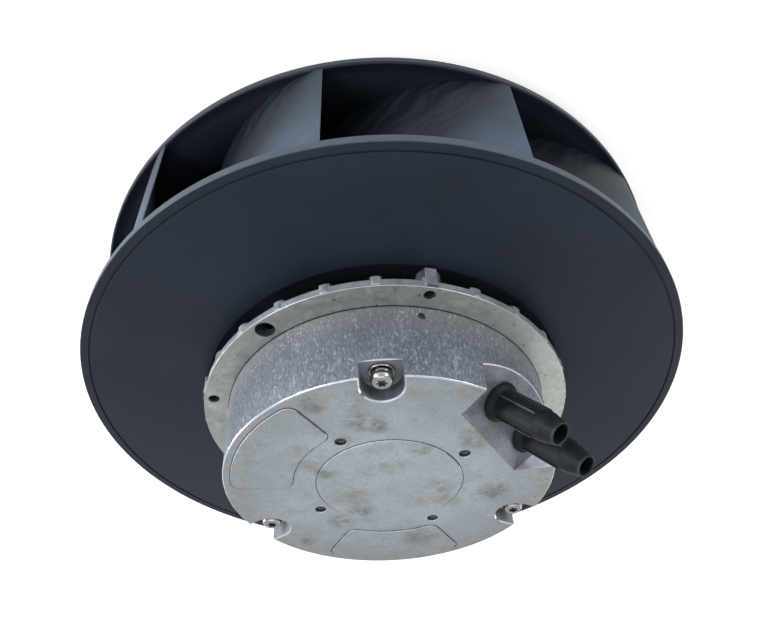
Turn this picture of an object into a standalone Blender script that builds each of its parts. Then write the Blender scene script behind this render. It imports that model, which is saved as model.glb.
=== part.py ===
# Centrifugal fan: a backward-curved plastic impeller carried by an external-rotor motor.
# Metres, +Z up. The origin is on the fan axis, level with the inlet lip that the fan stands on,
# so the motor and its cover face up and the air inlet faces down.

import math

import bmesh
import bpy
from mathutils import Matrix, Vector

for old in list(bpy.data.objects):
    bpy.data.objects.remove(old)

# Clearances
SEAT_GAP = 0.0003
AIR_GAP = 0.0007
RACE_GAP = 0.0002

# Facets round a full turn
ROTOR_FACETS = 48
STATOR_FACETS = 40
SMALL_FACETS = 20
PIN_FACETS = 8
HEAD_FACETS = 12
GLAND_FACETS = 16

# Impeller: back plate with a rim bead, a groove and a bell-shaped hub
IMPELLER_RADIUS = 0.125
INLET_DEPTH = 0.079
PLATE_THICKNESS = 0.003
RIM_HEIGHT = 0.0039
RIM_WIDTH = 0.0044
RIM_CHAMFER = 0.0005
GROOVE_INSET = 0.00365
GROOVE_WIDTH = 0.0009
GROOVE_DEPTH = 0.0006
OPENING_RADIUS = 0.074
OPENING_STEP = 0.0012
HUB_CURVE_RADIUS = 0.078
HUB_CURVE_HEIGHT = 0.026
HUB_WALL = 0.0028
HUB_EYE_RADIUS = 0.030
HUB_SCREW_RADIUS = 0.039
HUB_SCREW_COUNT = 4

# Impeller: shroud
OUTLET_DEPTH = 0.0531
SHROUD_RIM_HEIGHT = 0.0038
SHROUD_RIM_WIDTH = 0.0035
SHROUD_RIM_STEP = 0.0014
SHROUD_WALL = 0.0022
INLET_RADIUS = 0.0875
LIP_HEIGHT = 0.002
LIP_ROUND = 0.0005

# Impeller: blades
BLADE_COUNT = 11
BLADE_FIRST_ANGLE = 97.3
BLADE_OUTLET_ANGLE = 14.25
BLADE_CURVE_RADIUS = 0.080
BLADE_LENGTH = 0.095
BLADE_TAIL_THICKNESS = 0.002
BLADE_BELLY_THICKNESS = 0.003
BLADE_ROOT_RADIUS = 0.0815
BLADE_TIP_RADIUS = 0.0905
BLADE_STATIONS = (-0.04, 0.14, 0.32, 0.50, 0.67, 0.83, 0.97)
BLADE_NOSE_SHARE = 0.7

# Motor: stator stack, magnets, rotor can and shaft
CORE_RADIUS = 0.042
CORE_LENGTH = 0.025
CORE_DROP = 0.0095
YOKE_RADIUS = 0.020
TOOTH_COUNT = 12
TOOTH_WIDTH = 0.006
SHOE_THICKNESS = 0.002
SLOT_MOUTH = 0.003
COIL_WIDTH = 0.0023
COIL_OVERHANG = 0.0061
CROSSOVER_INSET = 0.0006
CROSSOVER_WIDTH = 0.0018
CROSSOVER_RISE = 0.0012
INSULATOR_HEIGHT = 0.0053
INSULATOR_RADIUS = 0.0222
MAGNET_THICKNESS = 0.0045
MAGNET_LENGTH = 0.028
CAN_WALL = 0.0025
CAN_TOP_GAP = 0.0027
CAN_FLOOR_CLEARANCE = 0.0059
CAN_BOSS_WALL = 0.0042
CAN_BOSS_RISE = 0.003
CAN_BOSS_DROP = 0.0025
SHAFT_RADIUS = 0.004
SHAFT_COLLAR_RADIUS = 0.0052
SHAFT_COLLAR_LENGTH = 0.0018
SHAFT_END = 0.0025

# Bearings and the tube that holds them
BEARING_BORE_RADIUS = 0.0043
BEARING_RADIUS = 0.011
BEARING_WIDTH = 0.007
RING_THICKNESS = 0.0018
RACE_DEPTH = 0.0004
RACE_WIDTH_SHARE = 0.7
BEARING_INSET = 0.001
BALL_COUNT = 7
CAGE_THICKNESS = 0.0012
CAGE_WIDTH = 0.002
TUBE_WALL = 0.0027
TUBE_SHOULDER = 0.0014
TUBE_END_GAP = 0.0015
TUBE_CAP_THICKNESS = 0.003
PRELOAD_THICKNESS = 0.0005
CLIP_THICKNESS = 0.0008
CLIP_GROOVE_DEPTH = 0.0006

# Stator flange
FLANGE_STANDOFF = 0.0082
FLANGE_THICKNESS = 0.0035
FLANGE_LEDGE = 0.010
FLANGE_CHAMFER = 0.0004
FLANGE_HUB_THICKNESS = 0.006
FLANGE_STEP_INSET = 0.0133
GASKET_SEAT_DEPTH = 0.0004
COLLAR_HEIGHT = 0.0043
COLLAR_WALL = 0.0037
RIB_COUNT = 25
RIB_FIRST_ANGLE = 33.0
RIB_WIDTH = 0.004
RIB_PROUD = 0.0014
RIB_TOP_DROP = 0.0018
RIB_DEPTH = 0.0052
RIB_LENGTH = 0.016
LUG_FIRST_ANGLE = 75.3
LUG_COUNT = 4
LUG_INSET = 0.0039
LUG_RADIUS = 0.0045
LUG_DEPTH = 0.0062
LUG_HOLE_RADIUS = 0.002
LUG_RIB_REACH = 0.0007
PORT_ANGLE = 127.1
PORT_INSET = 0.0047
PORT_RADIUS = 0.0037

# Electronics cover
COVER_RADIUS = 0.0648
COVER_DRAFT = 0.0007
COVER_HEIGHT = 0.0322
COVER_WALL = 0.0032
COVER_ROOF = 0.003
COVER_EDGE = 0.0008
GASKET_THICKNESS = 0.001
PAD_RISE = 0.0004
DISC_RADIUS = 0.0284
TAPPED_CIRCLE_RADIUS = 0.0332
TAPPED_FIRST_ANGLE = 30.5
TAPPED_COUNT = 4
TAPPED_RADIUS = 0.0022
TAPPED_DEPTH = 0.007
TAPPED_BOSS_WALL = 0.0023
TAPPED_BOSS_END = 0.001
PANEL_INNER_RADIUS = 0.0375
PANEL_EDGE = 0.003
PANEL_CORNER = 0.004
PANEL_SPAN = 56.0
PANEL_ANGLES = (150.0, 270.0)

# Cover screws in their pockets
SCREW_FIRST_ANGLE = 90.5
SCREW_COUNT = 3
SCREW_INSET = 0.0058
POCKET_DEPTH = 0.0071
POCKET_HALF_WIDTH = 0.0076
SCREW_RADIUS = 0.002
SCREW_HOLE_RADIUS = 0.00235
SCREW_HEAD_RADIUS = 0.004
SCREW_HEAD_HEIGHT = 0.0028
HEAD_CROWN_SHARE = 0.65
HEAD_DOME_SHARE = 0.45
SCREW_ENGAGEMENT = 0.005
SCREW_BOSS_RADIUS = 0.005
WASHER_RADIUS = 0.0047
WASHER_THICKNESS = 0.0008
SPRING_WASHER_RADIUS = 0.0038
SPRING_WASHER_THICKNESS = 0.0009

# Cable glands on their sloped face
GLAND_SLOPE = 40.0
GLAND_ANGLE = 30.0
GLAND_CHORD_INSET = 0.0206
GLAND_SIDE_ANGLES = (4.5, 57.2)
GLAND_INSET = 0.0101
GLAND_OFFSETS = (-0.0101, 0.0134)
GLAND_LENGTH = 0.0292
GLAND_TAPER_LENGTH = 0.0085
GLAND_RADIUS = 0.00575
GLAND_TIP_RADIUS = 0.00415
GLAND_BORE_RADIUS = 0.00365
GLAND_COLLAR_RADIUS = 0.0077
GLAND_COLLAR_HEIGHT = 0.0028
GLAND_NECK_RADIUS = 0.0049
GLAND_FOOT_THICKNESS = 0.002

# Electronics
BOARD_CLEARANCE = 0.0008
BOARD_THICKNESS = 0.0016
BOARD_HEIGHT = 0.0083
POST_RADIUS = 0.0034
POST_INSET = 0.008
POST_FIRST_ANGLE = -15.0
POST_COUNT = 3
POST_SCREW_RADIUS = 0.0012
POST_SCREW_HEAD_RADIUS = 0.0026
POST_SCREW_HEAD_HEIGHT = 0.0018
POST_SCREW_LENGTH = 0.007
CAPACITOR_RADIUS = 0.008
CAPACITOR_HEIGHT = 0.0165
CAPACITOR_SPACING = 0.025
CHOKE_RADIUS = 0.0085
CHOKE_THICKNESS = 0.007
CHOKE_INSET = 0.0215
CHOKE_OFFSET = 0.008
MODULE_WIDTH = 0.024
MODULE_HEIGHT = 0.0045
MODULE_OFFSET = 0.006
MODULE_EDGE = 0.0075
MODULE_COLLAR_GAP = 0.005
PAD_MARGIN = 0.001
TERMINAL_SIZE = (0.009, 0.026, 0.009)
TERMINAL_INSET = 0.01
PHASE_PIN_RADIUS = 0.0007
PHASE_PIN_HOLE_RADIUS = 0.0012
PHASE_PIN_ANGLES = (78.0, 90.0, 102.0)

# Radii that follow from the sizes above
magnet_inner = CORE_RADIUS + AIR_GAP
magnet_outer = magnet_inner + MAGNET_THICKNESS
can_inner = magnet_outer + SEAT_GAP
can_outer = can_inner + CAN_WALL
hub_inner = can_outer + SEAT_GAP
hub_outer = hub_inner + HUB_WALL
tube_bore = BEARING_RADIUS + SEAT_GAP
tube_outer = tube_bore + TUBE_WALL
core_bore = tube_outer + SEAT_GAP
flange_radius = COVER_RADIUS + FLANGE_LEDGE
cover_top_radius = COVER_RADIUS - COVER_DRAFT
cavity_radius = COVER_RADIUS - COVER_WALL
screw_circle = cover_top_radius - SCREW_INSET
gland_chord = cover_top_radius - GLAND_CHORD_INSET
gland_seat_radius = cover_top_radius - GLAND_INSET
board_radius = screw_circle - SCREW_BOSS_RADIUS - BOARD_CLEARANCE
collar_bore = tube_outer + SEAT_GAP
collar_radius = collar_bore + COLLAR_WALL

# Levels on the axis that follow from the sizes above, from the inlet lip up
plate_top = INLET_DEPTH
plate_under = plate_top - PLATE_THICKNESS
shroud_rim_top = plate_top - OUTLET_DEPTH
flange_under = plate_top + FLANGE_STANDOFF
flange_face = flange_under + FLANGE_THICKNESS
flange_hub_under = flange_face - FLANGE_HUB_THICKNESS
gasket_seat = flange_face - GASKET_SEAT_DEPTH
can_top = flange_hub_under - CAN_TOP_GAP
core_top = can_top - CORE_DROP
core_low = core_top - CORE_LENGTH
can_floor = core_low - COIL_OVERHANG - CAN_FLOOR_CLEARANCE
can_low = can_floor - CAN_WALL
can_boss_top = can_floor + CAN_BOSS_RISE
tube_low = can_boss_top + TUBE_END_GAP
tube_top = flange_face + COLLAR_HEIGHT
tube_cap_low = tube_top - SEAT_GAP - TUBE_CAP_THICKNESS
lower_bearing = tube_low + BEARING_INSET
clip_low = tube_cap_low - SHAFT_END - CLIP_THICKNESS - SEAT_GAP
upper_bearing = clip_low - SEAT_GAP - BEARING_WIDTH
shaft_top = tube_cap_low - SHAFT_END + SEAT_GAP
hub_low = can_low - SEAT_GAP - HUB_WALL
cover_low = gasket_seat + GASKET_THICKNESS + 2 * SEAT_GAP
cover_top = flange_face + COVER_HEIGHT
cavity_top = cover_top - COVER_ROOF
pocket_floor = cover_top - POCKET_DEPTH
board_low = flange_face + BOARD_HEIGHT
board_top = board_low + BOARD_THICKNESS

CUT_MARGIN = 0.004


def new_collection(name):
    collection = bpy.data.collections.new(name)
    bpy.context.scene.collection.children.link(collection)
    return collection


def new_material(name, colour, roughness, metallic):
    material = bpy.data.materials.new(name)
    material.use_nodes = True
    shader = material.node_tree.nodes["Principled BSDF"]
    shader.inputs["Base Color"].default_value = (*colour, 1.0)
    shader.inputs["Roughness"].default_value = roughness
    shader.inputs["Metallic"].default_value = metallic
    material.diffuse_color = (*colour, 1.0)
    return material


def new_object(name, mesh, collection):
    item = bpy.data.objects.new(name, mesh)
    collection.objects.link(item)
    if collection is CUTTERS:
        item.hide_render = True
        item.display_type = "WIRE"
    return item


def spin_matrix(angle):
    return Matrix.Rotation(math.radians(angle), 4, "Z")


def angles(count, first=0.0):
    return [first + 360.0 * index / count for index in range(count)]


def polar(radius, angle, height=0.0):
    turn = math.radians(angle)
    return Vector((radius * math.cos(turn), radius * math.sin(turn), height))


def ellipse_arc(centre, radii, start, end, count):
    points = []
    for index in range(count):
        turn = math.radians(start + (end - start) * index / (count - 1))
        points.append((centre[0] + radii[0] * math.cos(turn), centre[1] + radii[1] * math.sin(turn)))
    return points


# A turned solid. The profile lists (radius, height) down the outer side and back up the inner one.
# A profile that starts and ends on the axis makes a solid without a bore.
def turned(name, profile, facets, collection):
    solid = profile[0][0] == 0.0
    edges = [(index, index + 1) for index in range(len(profile) - 1)]
    if not solid:
        edges.append((len(profile) - 1, 0))
    mesh = bpy.data.meshes.new(name)
    mesh.from_pydata([(radius, 0.0, height) for radius, height in profile], edges, [])
    item = new_object(name, mesh, collection)
    screw = item.modifiers.new("Turn", "SCREW")
    screw.axis = "Z"
    screw.angle = 2 * math.pi
    screw.steps = facets
    screw.render_steps = facets
    screw.use_merge_vertices = True
    screw.merge_threshold = 0.00001
    screw.use_smooth_shade = False
    return item


def tube_profile(inner, outer, low, high):
    return [(outer, high), (outer, low), (inner, low), (inner, high)]


# The mesh of an object with its modifiers applied, in place of the object
def baked(item):
    depsgraph = bpy.context.evaluated_depsgraph_get()
    mesh = bpy.data.meshes.new_from_object(item.evaluated_get(depsgraph))
    mesh.transform(item.matrix_world)
    bpy.data.objects.remove(item)
    return mesh


# A flat outline raised from one height to another. Loops inside the first one are holes.
def extruded(name, loops, low, high, collection):
    curve = bpy.data.curves.new(name, "CURVE")
    curve.dimensions = "2D"
    curve.fill_mode = "BOTH"
    curve.extrude = (high - low) / 2
    for loop in loops:
        spline = curve.splines.new("POLY")
        spline.points.add(len(loop) - 1)
        for point, place in zip(spline.points, loop):
            point.co = (place[0], place[1], 0.0, 1.0)
        spline.use_cyclic_u = True
    mesh = baked(new_object(name, curve, collection))
    shape = bmesh.new()
    shape.from_mesh(mesh)
    bmesh.ops.remove_doubles(shape, verts=shape.verts, dist=0.000001)
    bmesh.ops.translate(shape, verts=shape.verts, vec=(0.0, 0.0, (low + high) / 2))
    bmesh.ops.recalc_face_normals(shape, faces=shape.faces)
    shape.to_mesh(mesh)
    shape.free()
    return new_object(name, mesh, collection)


def box_mesh(name, size, centre):
    shape = bmesh.new()
    bmesh.ops.create_cube(shape, size=1.0)
    bmesh.ops.scale(shape, verts=shape.verts, vec=size)
    bmesh.ops.translate(shape, verts=shape.verts, vec=centre)
    mesh = bpy.data.meshes.new(name)
    shape.to_mesh(mesh)
    shape.free()
    return mesh


def cylinder_mesh(name, radius, low, high, facets):
    shape = bmesh.new()
    bmesh.ops.create_cone(
        shape, cap_ends=True, segments=facets, radius1=radius, radius2=radius, depth=high - low
    )
    bmesh.ops.translate(shape, verts=shape.verts, vec=(0.0, 0.0, (low + high) / 2))
    mesh = bpy.data.meshes.new(name)
    shape.to_mesh(mesh)
    shape.free()
    return mesh


# One object holding a copy of a mesh at each matrix
def repeated(name, mesh, matrices, collection):
    shape = bmesh.new()
    for matrix in matrices:
        copy = mesh.copy()
        copy.transform(matrix)
        shape.from_mesh(copy)
        bpy.data.meshes.remove(copy)
    joined = bpy.data.meshes.new(name)
    shape.to_mesh(joined)
    shape.free()
    return new_object(name, joined, collection)


# A separate object at each matrix, all sharing one mesh
def copies(name, mesh, matrices, material, carrier=None):
    for index, matrix in enumerate(matrices):
        copy = finish(new_object(f"{name}_{index + 1}", mesh, PARTS), material, carrier)
        copy.matrix_world = matrix


def combine(target, other, operation="DIFFERENCE"):
    step = target.modifiers.new(other.name, "BOOLEAN")
    step.object = other
    step.operation = operation
    step.solver = "EXACT"


def finish(item, material, carrier=None):
    item.data.materials.clear()
    item.data.materials.append(material)
    if carrier is not None:
        item.parent = carrier
    return item


# Back plate: flat disc with a bead at its rim, curving down into the hub that holds the rotor can
def build_back_plate():
    rim = IMPELLER_RADIUS
    groove = IMPELLER_RADIUS - GROOVE_INSET
    bead_low = plate_top - RIM_HEIGHT
    centre = (HUB_CURVE_RADIUS, plate_under - HUB_CURVE_HEIGHT)
    flow_side = ellipse_arc(centre, (HUB_CURVE_RADIUS - hub_outer, HUB_CURVE_HEIGHT), 90, 180, 6)
    dish_radii = (HUB_CURVE_RADIUS - hub_inner, HUB_CURVE_HEIGHT + PLATE_THICKNESS - OPENING_STEP)
    opening = math.degrees(math.acos((OPENING_RADIUS - HUB_CURVE_RADIUS) / dish_radii[0]))
    motor_side = ellipse_arc(centre, dish_radii, 180, opening, 6)
    profile = [
        (rim - RIM_CHAMFER, plate_top),
        (rim, plate_top - RIM_CHAMFER),
        (rim, bead_low),
        (rim - RIM_WIDTH, bead_low),
        (rim - RIM_WIDTH - PLATE_THICKNESS / 2, plate_under),
    ]
    profile += flow_side
    profile += [
        (hub_outer, hub_low + HUB_WALL / 2),
        (hub_outer - HUB_WALL / 2, hub_low),
        (HUB_EYE_RADIUS, hub_low),
        (HUB_EYE_RADIUS, hub_low + HUB_WALL),
        (hub_inner, hub_low + HUB_WALL),
    ]
    profile += motor_side
    profile += [
        (OPENING_RADIUS, plate_top),
        (groove - GROOVE_WIDTH / 2, plate_top),
        (groove, plate_top - GROOVE_DEPTH),
        (groove + GROOVE_WIDTH / 2, plate_top),
    ]
    plate = turned("impeller_back_plate", profile, ROTOR_FACETS, PARTS)
    hole = cylinder_mesh("hole", SCREW_RADIUS + SEAT_GAP, hub_low - CUT_MARGIN, can_low, PIN_FACETS)
    places = [Matrix.Translation(polar(HUB_SCREW_RADIUS, angle)) for angle in angles(HUB_SCREW_COUNT)]
    combine(plate, repeated("hub_screw_holes", hole, places, CUTTERS))
    return finish(plate, IMPELLER_PLASTIC, ROTOR_AXIS)


# Flow side of the shroud: a quarter of an ellipse from the inlet neck out to the rim
def shroud_curve(offset, count):
    centre = (IMPELLER_RADIUS - SHROUD_RIM_WIDTH, LIP_HEIGHT)
    radii = (centre[0] - INLET_RADIUS, shroud_rim_top - SHROUD_RIM_STEP - LIP_HEIGHT)
    return ellipse_arc(centre, (radii[0] + offset, radii[1] + offset), 180, 90, count)


def build_shroud():
    rim = IMPELLER_RADIUS
    neck = INLET_RADIUS + SHROUD_WALL
    rim_low = shroud_rim_top - SHROUD_RIM_HEIGHT
    outside = shroud_curve(-SHROUD_WALL, 6)
    outside.reverse()
    profile = [
        (rim - RIM_CHAMFER, shroud_rim_top),
        (rim, shroud_rim_top - RIM_CHAMFER),
        (rim, rim_low),
        (rim - SHROUD_RIM_WIDTH, rim_low),
    ]
    profile += outside[1:]
    profile += [
        (neck, LIP_ROUND),
        (neck - LIP_ROUND, 0.0),
        (INLET_RADIUS + LIP_ROUND, 0.0),
        (INLET_RADIUS, LIP_ROUND),
    ]
    profile += shroud_curve(0.0, 6)
    profile.append((rim - SHROUD_RIM_WIDTH + SHROUD_RIM_STEP / 2, shroud_rim_top))
    shroud = turned("impeller_shroud", profile, ROTOR_FACETS, PARTS)
    return finish(shroud, IMPELLER_PLASTIC, ROTOR_AXIS)


# A point of the blade section: run is the way along its arc from the trailing edge
def blade_point(run, offset):
    lean = math.radians(BLADE_OUTLET_ANGLE)
    centre_x = IMPELLER_RADIUS - BLADE_CURVE_RADIUS * math.cos(lean)
    centre_y = -BLADE_CURVE_RADIUS * math.sin(lean)
    turn = lean + run / BLADE_CURVE_RADIUS
    radius = BLADE_CURVE_RADIUS + offset
    return (centre_x + radius * math.cos(turn), centre_y + radius * math.sin(turn))


# Blade section: a curved strip, thickest past its middle, with a rounded leading edge
def blade_outline():
    outer = []
    inner = []
    for share in BLADE_STATIONS:
        belly = math.sin(math.pi * min(max(share, 0.0), 1.0) ** 1.4)
        half = (BLADE_TAIL_THICKNESS + (BLADE_BELLY_THICKNESS - BLADE_TAIL_THICKNESS) * belly) / 2
        if share == BLADE_STATIONS[-1]:
            half *= BLADE_NOSE_SHARE
        outer.append(blade_point(share * BLADE_LENGTH, half))
        inner.append(blade_point(share * BLADE_LENGTH, -half))
    nose = [blade_point(BLADE_LENGTH, 0.0)]
    inner.reverse()
    return outer + nose + inner


# The turned space between plate and shroud that trims every blade, with its raked leading edge
def blade_space():
    top = plate_under - SEAT_GAP
    bead = plate_top - RIM_HEIGHT - SEAT_GAP
    rim = IMPELLER_RADIUS
    flow = shroud_curve(SEAT_GAP, 8)
    kept = [point for point in flow if point[0] > BLADE_TIP_RADIUS]
    kept.reverse()
    profile = [
        (rim - RIM_WIDTH - PLATE_THICKNESS / 2 - SEAT_GAP, top),
        (rim - RIM_WIDTH - SEAT_GAP, bead),
        (rim, bead),
        (rim, shroud_rim_top + SEAT_GAP),
        (rim - SHROUD_RIM_WIDTH + SHROUD_RIM_STEP / 2 - SEAT_GAP, shroud_rim_top + SEAT_GAP),
    ]
    profile += kept
    profile += [
        (BLADE_TIP_RADIUS, kept[-1][1]),
        (BLADE_ROOT_RADIUS, top),
    ]
    return turned("blade_space", profile, ROTOR_FACETS, CUTTERS)


def build_blades():
    blank = extruded("blade_blank", [blade_outline()], 0.0, plate_top, CUTTERS)
    combine(blank, blade_space(), "INTERSECT")
    mesh = baked(blank)
    mesh.name = "blade"
    for index, angle in enumerate(angles(BLADE_COUNT, BLADE_FIRST_ANGLE)):
        blade = new_object(f"blade_{index + 1:02d}", mesh, PARTS)
        blade.rotation_euler.z = math.radians(angle)
        finish(blade, IMPELLER_PLASTIC, ROTOR_AXIS)


def build_rotor_can():
    bore = SHAFT_RADIUS + SEAT_GAP
    boss = bore + CAN_BOSS_WALL
    edge = CAN_WALL / 2
    profile = [
        (can_outer, can_top),
        (can_outer, can_low + edge),
        (can_outer - edge, can_low),
        (boss, can_low),
        (boss - edge, can_low - CAN_BOSS_DROP),
        (bore, can_low - CAN_BOSS_DROP),
        (bore, can_boss_top),
        (boss, can_boss_top),
        (boss, can_floor),
        (can_inner - edge, can_floor),
        (can_inner, can_floor + edge),
        (can_inner, can_top),
    ]
    can = turned("rotor_can", profile, STATOR_FACETS, PARTS)
    low = can_low - CUT_MARGIN
    hole = cylinder_mesh("hole", SCREW_RADIUS + SEAT_GAP, low, can_floor + CUT_MARGIN, PIN_FACETS)
    places = [Matrix.Translation(polar(HUB_SCREW_RADIUS, angle)) for angle in angles(HUB_SCREW_COUNT)]
    combine(can, repeated("can_screw_holes", hole, places, CUTTERS))
    return finish(can, BLACK_STEEL, ROTOR_AXIS)


def build_magnet_ring():
    middle = (core_top + core_low) / 2
    low = middle - MAGNET_LENGTH / 2
    high = middle + MAGNET_LENGTH / 2
    ring = turned("magnet_ring", tube_profile(magnet_inner, magnet_outer, low, high), STATOR_FACETS, PARTS)
    return finish(ring, FERRITE, ROTOR_AXIS)


def build_shaft():
    collar_low = can_boss_top + SEAT_GAP
    collar_high = collar_low + SHAFT_COLLAR_LENGTH
    groove_low = clip_low - SEAT_GAP
    groove_high = clip_low + CLIP_THICKNESS + SEAT_GAP
    groove = SHAFT_RADIUS - CLIP_GROOVE_DEPTH
    profile = [
        (0.0, shaft_top),
        (SHAFT_RADIUS - SEAT_GAP, shaft_top),
        (SHAFT_RADIUS, shaft_top - SEAT_GAP),
        (SHAFT_RADIUS, groove_high),
        (groove, groove_high),
        (groove, groove_low),
        (SHAFT_RADIUS, groove_low),
        (SHAFT_RADIUS, collar_high),
        (SHAFT_COLLAR_RADIUS, collar_high),
        (SHAFT_COLLAR_RADIUS, collar_low),
        (SHAFT_RADIUS, collar_low),
        (SHAFT_RADIUS, can_low - CAN_BOSS_DROP + SEAT_GAP),
        (0.0, can_low - CAN_BOSS_DROP + SEAT_GAP),
    ]
    return finish(turned("shaft", profile, SMALL_FACETS, PARTS), BRIGHT_STEEL, ROTOR_AXIS)


def build_shaft_clip():
    inner = SHAFT_RADIUS - CLIP_GROOVE_DEPTH + SEAT_GAP
    outer = SHAFT_RADIUS + RING_THICKNESS
    profile = tube_profile(inner, outer, clip_low, clip_low + CLIP_THICKNESS)
    return finish(turned("shaft_clip", profile, SMALL_FACETS, PARTS), BRIGHT_STEEL, ROTOR_AXIS)


# A bearing piece, once in each of the two bearings
def bearing_pair(name, item, material, carrier):
    mesh = baked(item)
    places = [Matrix.Translation((0.0, 0.0, level)) for level in (lower_bearing, upper_bearing)]
    copies(name, mesh, places, material, carrier)


def race_half_width():
    return ball_radius() * RACE_WIDTH_SHARE


def inner_race_radius():
    return BEARING_BORE_RADIUS + RING_THICKNESS - RACE_DEPTH


def outer_race_radius():
    return BEARING_RADIUS - RING_THICKNESS + RACE_DEPTH


def ball_radius():
    return (outer_race_radius() - inner_race_radius()) / 2 - RACE_GAP


def ball_circle():
    return (outer_race_radius() + inner_race_radius()) / 2


def build_bearings():
    middle = BEARING_WIDTH / 2
    half = race_half_width()
    land = inner_race_radius() + RACE_DEPTH
    inner_profile = [
        (land, BEARING_WIDTH),
        (land, middle + half),
        (inner_race_radius(), middle),
        (land, middle - half),
        (land, 0.0),
        (BEARING_BORE_RADIUS, 0.0),
        (BEARING_BORE_RADIUS, BEARING_WIDTH),
    ]
    land = outer_race_radius() - RACE_DEPTH
    outer_profile = [
        (BEARING_RADIUS, BEARING_WIDTH),
        (BEARING_RADIUS, 0.0),
        (land, 0.0),
        (land, middle - half),
        (outer_race_radius(), middle),
        (land, middle + half),
        (land, BEARING_WIDTH),
    ]
    inner = turned("inner_ring", inner_profile, SMALL_FACETS, CUTTERS)
    bearing_pair("bearing_inner_ring", inner, BRIGHT_STEEL, ROTOR_AXIS)
    outer = turned("outer_ring", outer_profile, SMALL_FACETS, CUTTERS)
    bearing_pair("bearing_outer_ring", outer, BRIGHT_STEEL, None)
    bearing_pair("bearing_ball_set", ball_set(middle), BRIGHT_STEEL, CAGE_AXIS)


# The balls of one bearing, held at their spacing by the ribbon of the cage
def ball_set(middle):
    inner = ball_circle() - CAGE_THICKNESS / 2
    profile = tube_profile(inner, inner + CAGE_THICKNESS, middle - CAGE_WIDTH / 2, middle + CAGE_WIDTH / 2)
    cage = turned("cage", profile, 2 * BALL_COUNT, CUTTERS)
    shape = bmesh.new()
    bmesh.ops.create_uvsphere(shape, u_segments=8, v_segments=5, radius=ball_radius())
    mesh = bpy.data.meshes.new("ball")
    shape.to_mesh(mesh)
    shape.free()
    places = [Matrix.Translation(polar(ball_circle(), angle, middle)) for angle in angles(BALL_COUNT)]
    combine(cage, repeated("balls", mesh, places, CUTTERS), "UNION")
    return cage


def build_bearing_tube():
    shoulder = tube_bore - TUBE_SHOULDER
    lower_seat = lower_bearing + BEARING_WIDTH + 2 * SEAT_GAP + PRELOAD_THICKNESS + SEAT_GAP
    upper_seat = upper_bearing - SEAT_GAP
    profile = [
        (tube_outer, tube_top),
        (tube_outer, tube_low),
        (tube_bore, tube_low),
        (tube_bore, lower_seat),
        (shoulder, lower_seat),
        (shoulder, upper_seat),
        (tube_bore, upper_seat),
        (tube_bore, tube_top),
    ]
    finish(turned("bearing_tube", profile, SMALL_FACETS, PARTS), CAST_ALUMINIUM)
    washer_low = lower_bearing + BEARING_WIDTH + SEAT_GAP
    washer = tube_profile(shoulder + SEAT_GAP, BEARING_RADIUS, washer_low, washer_low + PRELOAD_THICKNESS)
    finish(turned("preload_washer", washer, SMALL_FACETS, PARTS), BRIGHT_STEEL)
    cap = [
        (0.0, tube_cap_low + TUBE_CAP_THICKNESS),
        (BEARING_RADIUS, tube_cap_low + TUBE_CAP_THICKNESS),
        (BEARING_RADIUS, tube_cap_low),
        (0.0, tube_cap_low),
    ]
    finish(turned("bearing_tube_cap", cap, SMALL_FACETS, PARTS), BLACK_PLASTIC)


# Laminated core: a yoke ring with teeth that widen into shoes at the air gap
def core_outline():
    points = []
    root = math.degrees(math.asin(TOOTH_WIDTH / 2 / YOKE_RADIUS))
    shoe_inner = CORE_RADIUS - SHOE_THICKNESS
    neck = math.degrees(math.asin(TOOTH_WIDTH / 2 / (shoe_inner - SHOE_THICKNESS)))
    tip = 180.0 / TOOTH_COUNT - math.degrees(SLOT_MOUTH / 2 / CORE_RADIUS)
    for angle in angles(TOOTH_COUNT):
        points.append(polar(YOKE_RADIUS, angle - root))
        points.append(polar(shoe_inner - SHOE_THICKNESS, angle - neck))
        points.append(polar(shoe_inner, angle - tip))
        for share in (-1.0, 0.0, 1.0):
            points.append(polar(CORE_RADIUS, angle + tip * share))
        points.append(polar(shoe_inner, angle + tip))
        points.append(polar(shoe_inner - SHOE_THICKNESS, angle + neck))
        points.append(polar(YOKE_RADIUS, angle + root))
    return points


def build_stator_core():
    bore = [polar(core_bore, angle) for angle in angles(SMALL_FACETS)]
    core = extruded("stator_core", [core_outline(), bore], core_low, core_top, PARTS)
    return finish(core, LAMINATION_STEEL)


def build_insulators():
    for name, low in (
        ("end_insulator_upper", core_top + SEAT_GAP),
        ("end_insulator_lower", core_low - SEAT_GAP - INSULATOR_HEIGHT),
    ):
        profile = tube_profile(core_bore, INSULATOR_RADIUS, low, low + INSULATOR_HEIGHT)
        finish(turned(name, profile, SMALL_FACETS, PARTS), WHITE_PLASTIC)


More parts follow.
